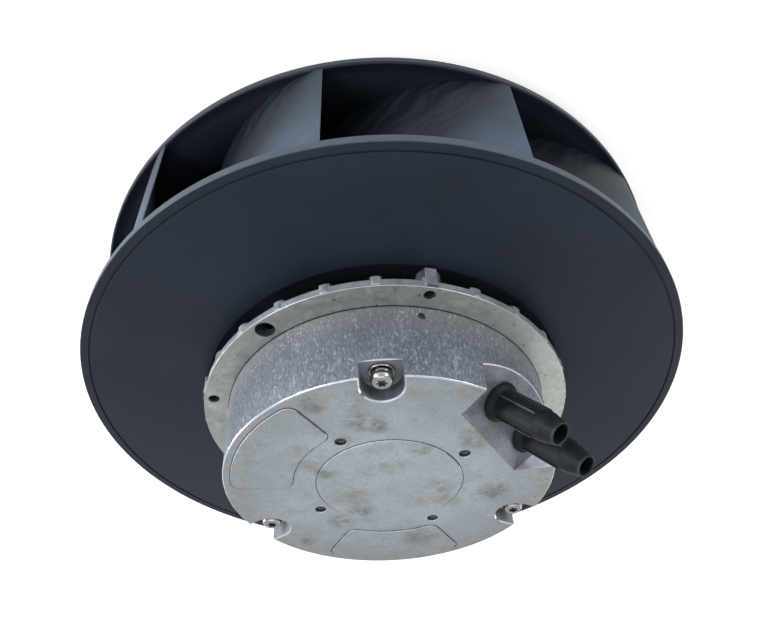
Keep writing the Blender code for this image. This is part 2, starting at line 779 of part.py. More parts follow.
# Windings: a rounded rectangular coil on every tooth, joined by the crossover wires that lie
# round their upper ends, with the three phase ends rising from there to the circuit board
def build_windings():
    gap = SEAT_GAP
    inner_x = TOOTH_WIDTH / 2 + gap
    inner_y = CORE_LENGTH / 2 + gap
    outer_x = inner_x + COIL_WIDTH
    outer_y = CORE_LENGTH / 2 + COIL_OVERHANG
    corner = COIL_WIDTH
    outer = []
    for centre_x, centre_y, start in (
        (outer_x - corner, outer_y - corner, 0),
        (corner - outer_x, outer_y - corner, 90),
        (corner - outer_x, corner - outer_y, 180),
        (outer_x - corner, corner - outer_y, 270),
    ):
        outer += ellipse_arc((centre_x, centre_y), (corner, corner), start, start + 90, 2)
    inner = [(inner_x, inner_y), (-inner_x, inner_y), (-inner_x, -inner_y), (inner_x, -inner_y)]
    low = INSULATOR_RADIUS + 2 * gap
    high = CORE_RADIUS - 2 * SHOE_THICKNESS - gap
    coil = extruded("coil", [outer, inner], low, high, CUTTERS)
    stand = Matrix(((0, 0, 1, 0), (1, 0, 0, 0), (0, 1, 0, 0), (0, 0, 0, 1)))
    lift = Matrix.Translation((0.0, 0.0, (core_low + core_top) / 2))
    places = [lift @ spin_matrix(angle) @ stand for angle in angles(TOOTH_COUNT)]
    coils = repeated("coils", baked(coil), places, CUTTERS)
    coil_top = core_top + COIL_OVERHANG
    ring_inner = low + CROSSOVER_INSET
    ring = tube_profile(ring_inner, ring_inner + CROSSOVER_WIDTH, coil_top - gap, coil_top)
    ring = [(radius, height + CROSSOVER_RISE * (height == coil_top)) for radius, height in ring]
    windings = turned("stator_windings", ring, SMALL_FACETS, PARTS)
    combine(windings, coils, "UNION")
    pin = cylinder_mesh("pin", PHASE_PIN_RADIUS, coil_top, board_low - gap, PIN_FACETS)
    combine(windings, repeated("phase_pins", pin, phase_pin_places(), CUTTERS), "UNION")
    return finish(windings, COPPER)


def phase_pin_places():
    circle = INSULATOR_RADIUS + 2 * SEAT_GAP + CROSSOVER_INSET + CROSSOVER_WIDTH / 2
    return [Matrix.Translation(polar(circle, angle)) for angle in PHASE_PIN_ANGLES]


# Rib under the flange, drawn in the plane through the axis: its end stands proud of the rim
def flange_rib():
    reach = flange_radius + RIB_PROUD
    top = flange_face - RIB_TOP_DROP
    low = flange_under - RIB_DEPTH
    slope = RIB_DEPTH + RIB_PROUD
    outline = [
        (reach, top),
        (reach - RIB_LENGTH, top),
        (reach - RIB_LENGTH, low),
        (reach - slope, low),
        (reach, flange_under),
    ]
    rib = extruded("rib", [outline], -RIB_WIDTH / 2, RIB_WIDTH / 2, CUTTERS)
    mesh = baked(rib)
    mesh.transform(Matrix.Rotation(math.radians(90), 4, "X"))
    return mesh


def build_flange():
    step = flange_radius - FLANGE_STEP_INSET
    profile = [
        (flange_radius - FLANGE_CHAMFER, flange_face),
        (flange_radius, flange_face - FLANGE_CHAMFER),
        (flange_radius, flange_under),
        (step, flange_under),
        (step - FLANGE_THICKNESS, flange_hub_under),
        (collar_bore, flange_hub_under),
        (collar_bore, tube_top),
        (collar_radius, tube_top),
        (collar_radius + SEAT_GAP, gasket_seat),
        (COVER_RADIUS + SEAT_GAP, gasket_seat),
        (COVER_RADIUS + 2 * SEAT_GAP, flange_face),
    ]
    flange = turned("stator_flange", profile, STATOR_FACETS, PARTS)
    lug_circle = flange_radius - LUG_INSET
    lug_low = flange_under - LUG_DEPTH
    rib_top = flange_face - RIB_TOP_DROP
    lug_angles = angles(LUG_COUNT, LUG_FIRST_ANGLE)
    rib_turns = [spin_matrix(angle) for angle in angles(RIB_COUNT, RIB_FIRST_ANGLE)]
    combine(flange, repeated("ribs", flange_rib(), rib_turns, CUTTERS), "UNION")
    lug = cylinder_mesh("lug", LUG_RADIUS, lug_low, rib_top, HEAD_FACETS)
    lug_places = [Matrix.Translation(polar(lug_circle, angle)) for angle in lug_angles]
    combine(flange, repeated("lugs", lug, lug_places, CUTTERS), "UNION")
    front_reach = flange_radius + LUG_RIB_REACH
    front_size = (front_reach - lug_circle, LUG_RADIUS, rib_top - lug_low - 2 * SEAT_GAP)
    front_centre = ((front_reach + lug_circle) / 2, 0.0, (rib_top + lug_low) / 2)
    front = box_mesh("front", front_size, front_centre)
    lug_turns = [spin_matrix(angle) for angle in lug_angles]
    combine(flange, repeated("lug_fronts", front, lug_turns, CUTTERS), "UNION")
    post_base = flange_face - FLANGE_THICKNESS / 2
    post = cylinder_mesh("post", POST_RADIUS, post_base, board_low - SEAT_GAP, PIN_FACETS)
    combine(flange, repeated("posts", post, post_places(), CUTTERS), "UNION")
    boss_low = flange_face - SCREW_ENGAGEMENT - FLANGE_THICKNESS
    boss = cylinder_mesh("boss", SCREW_BOSS_RADIUS, boss_low, post_base, HEAD_FACETS)
    combine(flange, repeated("screw_bosses", boss, screw_places(), CUTTERS), "UNION")
    cut_flange_holes(flange, lug_places, lug_low)
    return finish(flange, CAST_ALUMINIUM)


def cut_flange_holes(flange, lug_places, lug_low):
    above = flange_face + CUT_MARGIN
    lug_hole = cylinder_mesh("lug_hole", LUG_HOLE_RADIUS, lug_low - CUT_MARGIN, above, PIN_FACETS)
    combine(flange, repeated("lug_holes", lug_hole, lug_places, CUTTERS))
    port = cylinder_mesh("port", PORT_RADIUS, flange_under - RIB_DEPTH - CUT_MARGIN, above, HEAD_FACETS)
    port_place = Matrix.Translation(polar(flange_radius - PORT_INSET, PORT_ANGLE))
    combine(flange, repeated("port_hole", port, [port_place], CUTTERS))
    screw_low = flange_face - SCREW_ENGAGEMENT - 2 * SEAT_GAP
    screw_hole = cylinder_mesh("screw_hole", SCREW_RADIUS + SEAT_GAP, screw_low, above, PIN_FACETS)
    combine(flange, repeated("cover_screw_holes", screw_hole, screw_places(), CUTTERS))
    post_low = board_low - POST_SCREW_LENGTH
    post_bore = POST_SCREW_RADIUS + SEAT_GAP
    post_hole = cylinder_mesh("post_hole", post_bore, post_low, board_low + CUT_MARGIN, PIN_FACETS)
    combine(flange, repeated("post_holes", post_hole, post_places(), CUTTERS))
    pin_low = flange_hub_under - CUT_MARGIN
    pin_hole = cylinder_mesh("pin_hole", PHASE_PIN_HOLE_RADIUS, pin_low, above, PIN_FACETS)
    combine(flange, repeated("phase_pin_holes", pin_hole, phase_pin_places(), CUTTERS))


def screw_places():
    turns = angles(SCREW_COUNT, SCREW_FIRST_ANGLE)
    return [Matrix.Translation(polar(screw_circle, angle)) for angle in turns]


def post_places():
    turns = angles(POST_COUNT, POST_FIRST_ANGLE)
    return [Matrix.Translation(polar(board_radius - POST_INSET, angle)) for angle in turns]


# Pocket round a cover screw: a slot with a round inner end, open at the cover's wall
def pocket_mesh(name, half_width, low, high):
    mouth = cover_top_radius + COVER_DRAFT + CUT_MARGIN
    outline = [(mouth, half_width), (screw_circle, half_width)]
    outline += ellipse_arc((screw_circle, 0.0), (half_width, half_width), 90, 270, 7)[1:-1]
    outline += [(screw_circle, -half_width), (mouth, -half_width)]
    return baked(extruded(name, [outline], low, high, CUTTERS))


# Space over the sloped gland face: a block between two walls, cut off along the slope.
# Growing it by the wall thickness gives the block that keeps the wall under that face.
def gland_space(name, wall):
    reach = cover_top_radius + COVER_DRAFT + CUT_MARGIN + COVER_WALL
    chord = gland_chord - wall
    middle = sum(GLAND_SIDE_ANGLES) / 2
    corners = []
    for side, sign in zip(GLAND_SIDE_ANGLES, (-1.0, 1.0)):
        lean = math.radians(side - GLAND_ANGLE)
        shift = wall * sign / math.cos(lean)
        corners.append(((chord, chord * math.tan(lean) + shift), (reach, reach * math.tan(lean) + shift)))
    outline = [corners[0][0], corners[0][1], corners[1][1], corners[1][0]]
    low = cover_low - CUT_MARGIN
    high = cover_top + CUT_MARGIN
    block = extruded(name, [outline], low, high, CUTTERS)
    slope = math.radians(GLAND_SLOPE)
    normal = Vector((math.sin(slope), 0.0, math.cos(slope)))
    on_plane = Vector((gland_chord, 0.0, cover_top)) - normal * wall
    shape = bmesh.new()
    shape.from_mesh(block.data)
    cut = bmesh.ops.bisect_plane(
        shape,
        geom=shape.verts[:] + shape.edges[:] + shape.faces[:],
        plane_co=on_plane,
        plane_no=normal,
        clear_inner=True,
    )
    rim = [item for item in cut["geom_cut"] if isinstance(item, bmesh.types.BMEdge)]
    bmesh.ops.contextual_create(shape, geom=rim)
    bmesh.ops.recalc_face_normals(shape, faces=shape.faces)
    bmesh.ops.rotate(shape, verts=shape.verts, matrix=Matrix.Rotation(math.radians(GLAND_ANGLE), 3, "Z"))
    shape.to_mesh(block.data)
    shape.free()
    return block


# Seat of each gland: its axis starts on the sloped face and stands square to it
def gland_matrices():
    slope = math.radians(GLAND_SLOPE)
    height = cover_top - (gland_seat_radius - gland_chord) * math.tan(slope)
    lean = Matrix.Rotation(slope, 4, "Y")
    return [
        spin_matrix(GLAND_ANGLE) @ Matrix.Translation((gland_seat_radius, -offset, height)) @ lean
        for offset in GLAND_OFFSETS
    ]


def panel_outline():
    inner = PANEL_INNER_RADIUS
    outer = cover_top_radius - PANEL_EDGE
    half = PANEL_SPAN / 2
    corner = PANEL_CORNER
    inner_half = half - math.degrees(corner / inner)
    outer_half = half - math.degrees(corner / outer)
    points = [polar(inner + corner, half)]
    points += [polar(inner, inner_half - 2 * inner_half * index / 6) for index in range(7)]
    points += [polar(inner + corner, -half), polar(outer - corner, -half)]
    points += [polar(outer, 2 * outer_half * index / 8 - outer_half) for index in range(9)]
    points.append(polar(outer - corner, half))
    return points


def build_cover():
    profile = [
        (0.0, cover_top),
        (cover_top_radius - COVER_EDGE, cover_top),
        (cover_top_radius, cover_top - COVER_EDGE),
        (COVER_RADIUS, cover_low),
        (0.0, cover_low),
    ]
    cover = turned("electronics_cover", profile, STATOR_FACETS, PARTS)
    pad_low = cavity_top + COVER_ROOF / 2
    disc = cylinder_mesh("disc", DISC_RADIUS, pad_low, cover_top + PAD_RISE, STATOR_FACETS)
    combine(cover, repeated("raised_disc", disc, [Matrix.Identity(4)], CUTTERS), "UNION")
    panel = extruded("panel", [panel_outline()], pad_low, cover_top + PAD_RISE, CUTTERS)
    panel_turns = [spin_matrix(angle) for angle in PANEL_ANGLES]
    combine(cover, repeated("raised_panels", baked(panel), panel_turns, CUTTERS), "UNION")
    combine(cover, cover_cavity())
    screw_turns = [spin_matrix(angle) for angle in angles(SCREW_COUNT, SCREW_FIRST_ANGLE)]
    pocket = pocket_mesh("pocket", POCKET_HALF_WIDTH, pocket_floor, cover_top + CUT_MARGIN)
    combine(cover, repeated("screw_pockets", pocket, screw_turns, CUTTERS))
    combine(cover, gland_space("gland_pocket", 0.0))
    hole_low = cover_low - CUT_MARGIN
    hole = cylinder_mesh("hole", SCREW_HOLE_RADIUS, hole_low, pocket_floor + CUT_MARGIN, PIN_FACETS)
    combine(cover, repeated("cover_through_holes", hole, screw_places(), CUTTERS))
    neck = GLAND_NECK_RADIUS + SEAT_GAP
    gland_hole = cylinder_mesh("gland_hole", neck, -2 * COVER_ROOF, COVER_ROOF, GLAND_FACETS)
    combine(cover, repeated("gland_holes", gland_hole, gland_matrices(), CUTTERS))
    tapped_low = cover_top - TAPPED_DEPTH
    tapped = cylinder_mesh("tapped", TAPPED_RADIUS, tapped_low, cover_top + CUT_MARGIN, PIN_FACETS)
    combine(cover, repeated("tapped_holes", tapped, tapped_places(), CUTTERS))
    return finish(cover, CAST_ALUMINIUM)


def tapped_places():
    turns = angles(TAPPED_COUNT, TAPPED_FIRST_ANGLE)
    return [Matrix.Translation(polar(TAPPED_CIRCLE_RADIUS, angle)) for angle in turns]


# Hollow of the cover, less the walls round the pockets, the screw columns and the tapped bosses
def cover_cavity():
    profile = [
        (0.0, cavity_top),
        (cavity_radius - COVER_DRAFT - COVER_EDGE, cavity_top),
        (cavity_radius, cover_low - CUT_MARGIN),
        (0.0, cover_low - CUT_MARGIN),
    ]
    cavity = turned("cavity", profile, STATOR_FACETS, CUTTERS)
    above = cavity_top + CUT_MARGIN
    liner = pocket_mesh("liner", POCKET_HALF_WIDTH + COVER_ROOF, pocket_floor - COVER_ROOF, above)
    screw_turns = [spin_matrix(angle) for angle in angles(SCREW_COUNT, SCREW_FIRST_ANGLE)]
    combine(cavity, repeated("pocket_liners", liner, screw_turns, CUTTERS))
    column_low = cover_low - 2 * CUT_MARGIN
    column = cylinder_mesh("column", SCREW_BOSS_RADIUS, column_low, pocket_floor, HEAD_FACETS)
    combine(cavity, repeated("screw_columns", column, screw_places(), CUTTERS))
    combine(cavity, gland_space("gland_liner", COVER_ROOF))
    boss_low = cover_top - TAPPED_DEPTH - TAPPED_BOSS_END
    boss = cylinder_mesh("boss", TAPPED_RADIUS + TAPPED_BOSS_WALL, boss_low, above, PIN_FACETS)
    combine(cavity, repeated("tapped_bosses", boss, tapped_places(), CUTTERS))
    return cavity


def build_gasket():
    low = gasket_seat + SEAT_GAP
    inner = cavity_radius + SEAT_GAP
    outer = COVER_RADIUS - SEAT_GAP
    profile = tube_profile(inner, outer, low, low + GASKET_THICKNESS)
    return finish(turned("cover_gasket", profile, STATOR_FACETS, PARTS), BLACK_RUBBER)


def build_cover_screws():
    washer_low = pocket_floor + SEAT_GAP
    spring_low = washer_low + WASHER_THICKNESS + SEAT_GAP
    head_low = spring_low + SPRING_WASHER_THICKNESS + SEAT_GAP
    bore = SCREW_RADIUS + SEAT_GAP
    washer = tube_profile(bore, WASHER_RADIUS, washer_low, washer_low + WASHER_THICKNESS)
    spring = tube_profile(bore, SPRING_WASHER_RADIUS, spring_low, spring_low + SPRING_WASHER_THICKNESS)
    for name, profile in (("flat_washer", washer), ("spring_washer", spring)):
        copies(name, baked(turned(name, profile, HEAD_FACETS, CUTTERS)), screw_places(), ZINC)
    tip = flange_face - SCREW_ENGAGEMENT
    screw = pan_head_screw(SCREW_RADIUS, SCREW_HEAD_RADIUS, SCREW_HEAD_HEIGHT, tip, head_low)
    copies("cover_screw", screw, screw_places(), ZINC)


# A screw with a domed head whose underside is at seat
def pan_head_screw(radius, head_radius, head_height, tip, seat):
    top = seat + head_height
    profile = [
        (0.0, top),
        (head_radius * HEAD_CROWN_SHARE, top),
        (head_radius, top - head_height * HEAD_DOME_SHARE),
        (head_radius, seat),
        (radius, seat),
        (radius, tip),
        (0.0, tip),
    ]
    return baked(turned("screw", profile, HEAD_FACETS, CUTTERS))


def build_hub_screws():
    screw = pan_head_screw(SCREW_RADIUS, SCREW_HEAD_RADIUS, HUB_WALL, -can_floor, -(hub_low - SEAT_GAP))
    flip = Matrix.Rotation(math.radians(180), 4, "X")
    places = []
    for angle in angles(HUB_SCREW_COUNT):
        places.append(Matrix.Translation(polar(HUB_SCREW_RADIUS, angle)) @ flip)
    copies("impeller_screw", screw, places, ZINC, ROTOR_AXIS)


# Rubber cable gland: collar on the face, neck through the wall, foot inside, tapered open tip
def build_glands():
    wall_inner = -COVER_ROOF - SEAT_GAP
    foot_low = wall_inner - GLAND_FOOT_THICKNESS
    profile = [
        (GLAND_TIP_RADIUS, GLAND_LENGTH),
        (GLAND_RADIUS, GLAND_LENGTH - GLAND_TAPER_LENGTH),
        (GLAND_RADIUS, GLAND_COLLAR_HEIGHT + SEAT_GAP),
        (GLAND_COLLAR_RADIUS, GLAND_COLLAR_HEIGHT),
        (GLAND_COLLAR_RADIUS, SEAT_GAP),
        (GLAND_NECK_RADIUS, SEAT_GAP),
        (GLAND_NECK_RADIUS, wall_inner),
        (GLAND_NECK_RADIUS + GLAND_FOOT_THICKNESS, wall_inner),
        (GLAND_NECK_RADIUS + GLAND_FOOT_THICKNESS, foot_low),
        (GLAND_BORE_RADIUS, foot_low),
        (GLAND_BORE_RADIUS, GLAND_LENGTH),
    ]
    for index, matrix in enumerate(gland_matrices()):
        gland = turned(f"cable_gland_{index + 1}", profile, GLAND_FACETS, PARTS)
        gland.matrix_world = matrix
        finish(gland, BLACK_RUBBER)


def build_electronics():
    rim = [polar(board_radius, angle) for angle in angles(SMALL_FACETS)]
    board = extruded("circuit_board", [rim], board_low, board_top, PARTS)
    drill_top = board_top + CUT_MARGIN
    bore = POST_SCREW_RADIUS + SEAT_GAP
    drill = cylinder_mesh("drill", bore, board_low - CUT_MARGIN, drill_top, PIN_FACETS)
    combine(board, repeated("board_holes", drill, post_places(), CUTTERS))
    finish(board, BOARD_GREEN)
    seat = board_top + SEAT_GAP
    tip = board_low - POST_SCREW_LENGTH + SEAT_GAP
    profile = [
        (0.0, seat + POST_SCREW_HEAD_HEIGHT),
        (POST_SCREW_HEAD_RADIUS, seat + POST_SCREW_HEAD_HEIGHT),
        (POST_SCREW_HEAD_RADIUS, seat),
        (POST_SCREW_RADIUS, seat),
        (POST_SCREW_RADIUS, tip),
        (0.0, tip),
    ]
    screw = baked(turned("board_screw", profile, PIN_FACETS, CUTTERS))
    copies("board_screw", screw, post_places(), ZINC)
    capacitor = cylinder_mesh("capacitor", CAPACITOR_RADIUS, seat, seat + CAPACITOR_HEIGHT, SMALL_FACETS)
    pair = [Matrix.Translation((0.0, side * CAPACITOR_SPACING / 2, 0.0)) for side in (-1.0, 1.0)]
    copies("bulk_capacitor", capacitor, pair, BLACK_PLASTIC)
    ring = tube_profile(CHOKE_RADIUS / 2, CHOKE_RADIUS, seat, seat + CHOKE_THICKNESS)
    choke = turned("filter_choke", ring, SMALL_FACETS, PARTS)
    choke.location = (CHOKE_INSET - board_radius, CHOKE_OFFSET, 0.0)
    finish(choke, COPPER)
    module_top = board_low - SEAT_GAP
    module_low = module_top - MODULE_HEIGHT
    module_inner = collar_radius + MODULE_COLLAR_GAP
    module_outer = board_radius - MODULE_EDGE
    module_size = (module_outer - module_inner, MODULE_WIDTH, MODULE_HEIGHT)
    module_place = (-(module_inner + module_outer) / 2, -MODULE_OFFSET)
    module_centre = (*module_place, (module_low + module_top) / 2)
    module = new_object("power_module", box_mesh("power_module", module_size, module_centre), PARTS)
    finish(module, BLACK_PLASTIC)
    pad_low = gasket_seat + SEAT_GAP
    pad_height = module_low - SEAT_GAP - pad_low
    pad_size = (module_size[0] - PAD_MARGIN, MODULE_WIDTH - PAD_MARGIN, pad_height)
    pad_centre = (*module_place, pad_low + pad_height / 2)
    finish(new_object("heat_pad", box_mesh("heat_pad", pad_size, pad_centre), PARTS), GREY_SILICONE)
    terminal_centre = (board_radius - TERMINAL_INSET, 0.0, seat + TERMINAL_SIZE[2] / 2)
    terminal = box_mesh("terminal", TERMINAL_SIZE, terminal_centre)
    finish(repeated("terminal_block", terminal, [spin_matrix(GLAND_ANGLE)], PARTS), WHITE_PLASTIC)


PARTS = new_collection("centrifugal_fan")
CUTTERS = new_collection("cutters")

IMPELLER_PLASTIC = new_material("anthracite polyamide", (0.035, 0.04, 0.05), 0.5, 0.0)
CAST_ALUMINIUM = new_material("cast aluminium", (0.42, 0.44, 0.45), 0.5, 1.0)
BLACK_STEEL = new_material("black painted steel", (0.03, 0.03, 0.03), 0.45, 0.3)
BRIGHT_STEEL = new_material("bright steel", (0.6, 0.6, 0.6), 0.25, 1.0)
LAMINATION_STEEL = new_material("lamination steel", (0.25, 0.26, 0.28), 0.5, 1.0)
FERRITE = new_material("ferrite", (0.05, 0.05, 0.055), 0.7, 0.0)
COPPER = new_material("enamelled copper", (0.6, 0.25, 0.08), 0.35, 1.0)
ZINC = new_material("bright zinc", (0.7, 0.7, 0.68), 0.3, 1.0)
BLACK_RUBBER = new_material("black rubber", (0.02, 0.02, 0.025), 0.7, 0.0)
BLACK_PLASTIC = new_material("black plastic", (0.03, 0.03, 0.03), 0.5, 0.0)
WHITE_PLASTIC = new_material("natural polyamide", (0.75, 0.73, 0.66), 0.5, 0.0)
BOARD_GREEN = new_material("circuit board", (0.02, 0.16, 0.07), 0.4, 0.0)
GREY_SILICONE = new_material("grey silicone", (0.45, 0.46, 0.48), 0.7, 0.0)

ROTOR_AXIS = new_object("rotor_axis", None, PARTS)
CAGE_AXIS = new_object("cage_axis", None, PARTS)

build_back_plate()
build_shroud()
build_blades()
build_rotor_can()
build_magnet_ring()
build_shaft()
build_shaft_clip()
build_bearings()
build_bearing_tube()
build_stator_core()
build_insulators()
build_windings()
build_flange()
build_cover()
build_gasket()
build_cover_screws()
build_hub_screws()
build_glands()
build_electronics()
bpy.context.view_layer.update()
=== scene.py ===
from math import acos, atan2, cos, degrees, hypot, pi, radians, sin, sqrt, tan

import bmesh
import bpy
from mathutils import Matrix, Vector


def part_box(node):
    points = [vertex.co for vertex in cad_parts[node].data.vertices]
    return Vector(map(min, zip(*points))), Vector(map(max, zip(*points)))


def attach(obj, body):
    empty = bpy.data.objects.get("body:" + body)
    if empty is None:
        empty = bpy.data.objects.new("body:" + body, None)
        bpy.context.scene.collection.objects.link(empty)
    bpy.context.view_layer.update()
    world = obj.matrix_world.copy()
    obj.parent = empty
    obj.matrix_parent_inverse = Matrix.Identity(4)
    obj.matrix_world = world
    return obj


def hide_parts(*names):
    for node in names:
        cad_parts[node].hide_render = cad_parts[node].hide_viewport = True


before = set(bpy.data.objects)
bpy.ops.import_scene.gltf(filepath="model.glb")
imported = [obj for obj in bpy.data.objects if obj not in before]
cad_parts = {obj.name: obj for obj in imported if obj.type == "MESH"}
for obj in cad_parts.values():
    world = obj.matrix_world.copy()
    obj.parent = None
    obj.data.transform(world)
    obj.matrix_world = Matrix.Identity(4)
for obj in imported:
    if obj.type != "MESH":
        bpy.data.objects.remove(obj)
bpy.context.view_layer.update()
mm = 0.001
scene = bpy.context.scene
print("frame loaded:", len(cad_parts), "nodes")


# Heights of a CAD node in millimetres above the inlet lip
def heights(node):
    low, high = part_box(node)
    return low.z / mm, high.z / mm


hubLow, plateTop = heights("impeller_back_plate")
shroudTop = heights("impeller_shroud")[1]
canLow, canTop = heights("rotor_can")
coverLow, padTop = heights("electronics_cover")
gasketLow, gasketTop = heights("cover_gasket")
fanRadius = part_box("impeller_back_plate")[1].x / mm
flangeFace = gasketLow + 0.1
padRise = 0.4
coverTop = padTop - padRise


# Arc of an ellipse, in degrees
def arc(centre, radii, start, end, steps):
    turns = [radians(start + (end - start) * step / steps) for step in range(steps + 1)]
    return [(centre[0] + radii[0] * cos(t), centre[1] + radii[1] * sin(t)) for t in turns]


# Outline with round corners: a corner is (x, y) or (x, y, radius)
def rounded(corners, steps=4):
    points = []
    for index, corner in enumerate(corners):
        here = Vector(corner[:2])
        if len(corner) == 2:
            points.append(here)
            continue
        before = (Vector(corners[index - 1][:2]) - here).normalized()
        after = (Vector(corners[(index + 1) % len(corners)][:2]) - here).normalized()
        half = before.angle(after) / 2
        centre = here + (before + after).normalized() * (corner[2] / sin(half))
        start = here + before * (corner[2] / tan(half)) - centre
        sweep = (pi - 2 * half) * (1 if before.cross(after) < 0 else -1)
        for step in range(steps + 1):
            points.append(centre + Matrix.Rotation(sweep * step / steps, 2) @ start)
    return points


def tidied(shape):
    bmesh.ops.remove_doubles(shape, verts=shape.verts, dist=0.002 * mm)
    bmesh.ops.recalc_face_normals(shape, faces=shape.faces)
    return shape


# Solid of revolution about the fan axis from an outline of (radius, height)
def turned(points, steps, closed=True):
    shape = bmesh.new()
    verts = [shape.verts.new((x * mm, 0, z * mm)) for x, z in points]
    pairs = list(zip(verts, verts[1:]))
    if closed:
        pairs.append((verts[-1], verts[0]))
    edges = [shape.edges.new(pair) for pair in pairs]
    bmesh.ops.spin(
        shape, geom=verts + edges, cent=(0, 0, 0), axis=(0, 0, 1),
        angle=2 * pi, steps=steps, use_merge=True,
    )
    return tidied(shape)


# Flat outline raised from one height to another
def slab(points, low, high):
    shape = bmesh.new()
    face = shape.faces.new([shape.verts.new((x * mm, y * mm, low * mm)) for x, y in points])
    raised = bmesh.ops.extrude_face_region(shape, geom=[face])
    moved = [item for item in raised["geom"] if isinstance(item, bmesh.types.BMVert)]
    bmesh.ops.translate(shape, verts=moved, vec=(0, 0, (high - low) * mm))
    return tidied(shape)


# Stack of like loops at rising heights, bridged and closed at both ends
def lofted(loops):
    shape = bmesh.new()
    rings = []
    for points, height in loops:
        verts = [shape.verts.new((x * mm, y * mm, height * mm)) for x, y in points]
        rings.append([shape.edges.new(pair) for pair in zip(verts, verts[1:] + verts[:1])])
        if points is loops[0][0] or points is loops[-1][0]:
            shape.faces.new(verts)
    for lower, upper in zip(rings, rings[1:]):
        bmesh.ops.bridge_loops(shape, edges=lower + upper)
    return tidied(shape)


def cylinder(radius, low, high, steps):
    shape = bmesh.new()
    bmesh.ops.create_cone(
        shape, cap_ends=True, segments=steps, radius1=radius * mm, radius2=radius * mm,
        depth=(high - low) * mm,
    )
    bmesh.ops.translate(shape, verts=shape.verts, vec=(0, 0, (low + high) / 2 * mm))
    return shape


# Breaks or rounds some edges of a shape
def softened(shape, edges, size, segments):
    bmesh.ops.bevel(
        shape, geom=edges, offset=size * mm, affect="EDGES", segments=segments, profile=0.5, material=-1,
    )


# Outline of a ring with a square section and soft corners
def ringOutline(outer, inner, low, high, outerRound, innerRound, steps=4):
    outside, inside = (outer, high, outerRound), (inner, low, innerRound)
    return rounded([outside, (outer, low, outerRound), inside, (inner, high, innerRound)], steps)


def turnedBy(angle):
    return Matrix.Rotation(radians(angle), 4, "Z")


def at(radius, angle, height=0.0):
    return turnedBy(angle) @ Matrix.Translation((radius * mm, 0, height * mm))


# Places spaced evenly round a circle
def around(circle, first, count):
    return [at(circle, first + 360 / count * k) for k in range(count)]


# Distance in millimetres from a point to the nearest of some places on a circle
def nearest(point, circle, angles):
    return min((point.xy - turnedBy(angle).col[0].xy * circle).length for angle in angles)


def repeated(shape, places):
    mesh = bpy.data.meshes.new("copy")
    shape.to_mesh(mesh)
    shape.free()
    many = bmesh.new()
    for place in places:
        copy = mesh.copy()
        copy.transform(place)
        many.from_mesh(copy)
        bpy.data.meshes.remove(copy)
    bpy.data.meshes.remove(mesh)
    return many


def solid(name, shape):
    mesh = bpy.data.meshes.new(name)
    shape.to_mesh(mesh)
    shape.free()
    item = bpy.data.objects.new(name, mesh)
    scene.collection.objects.link(item)
    return item


# Adds or cuts away a second shape, once or at several places
def combined(item, shape, places=None, how="DIFFERENCE"):
    tool = solid("tool", repeated(shape, places) if places else shape)
    step = item.modifiers.new("step", "BOOLEAN")
    step.object = tool
    step.operation = how
    step.solver = "EXACT"
    graph = bpy.context.evaluated_depsgraph_get()
    result = bpy.data.meshes.new_from_object(item.evaluated_get(graph))
    item.modifiers.clear()
    old = item.data
    item.data = result
    bpy.data.meshes.remove(old)
    bpy.data.objects.remove(tool)


# Materials, shading, and the body and CAD nodes that the piece stands for
def finished(item, materials, body, slotName, *nodes, choose=None, sharp=32):
    mesh = item.data
    mesh.materials.clear()
    for material in materials:
        mesh.materials.append(material)
    for face in mesh.polygons:
        face.material_index = choose(face) if choose else 0
    mesh.shade_smooth()
    mesh.set_sharp_from_angle(angle=radians(sharp))
    even = item.modifiers.new("evenShading", "WEIGHTED_NORMAL")
    even.keep_sharp = True
    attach(item, body)
    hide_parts(*nodes)


def toLinear(hexColour):
    channels = [int(hexColour[i:i + 2], 16) / 255 for i in (1, 3, 5)]
    linear = [c / 12.92 if c <= 0.04045 else ((c + 0.055) / 1.055) ** 2.4 for c in channels]
    return (*linear, 1.0)


# Adds a node with its settings; an input is a value or another node's output
def addNode(tree, kind, inputs=None, **settings):
    node = tree.nodes.new("ShaderNode" + kind)
    for key, value in settings.items():
        setattr(node, key, value)
    for key, value in (inputs or {}).items():
        if isinstance(value, bpy.types.NodeSocket):
            tree.links.new(value, node.inputs[key])
        else:
            node.inputs[key].default_value = value
    return node


# A new material with its shader's own values, and the place on the piece that patterns follow
def newMaterial(name, **values):
    material = bpy.data.materials.new(name)
    material.use_nodes = True
    shader = material.node_tree.nodes["Principled BSDF"]
    for key, value in values.items():
        shader.inputs[key.replace("_", " ")].default_value = value
    return material, addNode(material.node_tree, "TexCoord").outputs["Object"]


# Colours laid over a ground: where each one shows, its share there at 0 and at 1, and its hex value
def layered(ground, *layers):
    colour = toLinear(ground)
    for where, least, most, over in layers:
        tree = where.id_data
        share = addNode(tree, "MapRange", {"Value": where, "To Min": least, "To Max": most}).outputs[0]
        colour = addNode(tree, "Mix", {0: share, 6: colour, 7: toLinear(over)}, data_type="RGBA").outputs[2]
    return colour


# Noise whose grain is given in millimetres, cut to a range from 0 to 1
def grain(place, size, low=0.35, high=0.65, detail=3.0, rough=0.55, squeeze=(1, 1, 1)):
    tree = place.id_data
    scaled = addNode(tree, "Mapping", {"Vector": place, "Scale": squeeze}).outputs[0]
    inputs = {"Vector": scaled, "Scale": 1 / (size * mm), "Detail": detail, "Roughness": rough}
    noise = addNode(tree, "TexNoise", inputs).outputs["Fac"]
    return addNode(tree, "MapRange", {"Value": noise, "From Min": low, "From Max": high}).outputs[0]


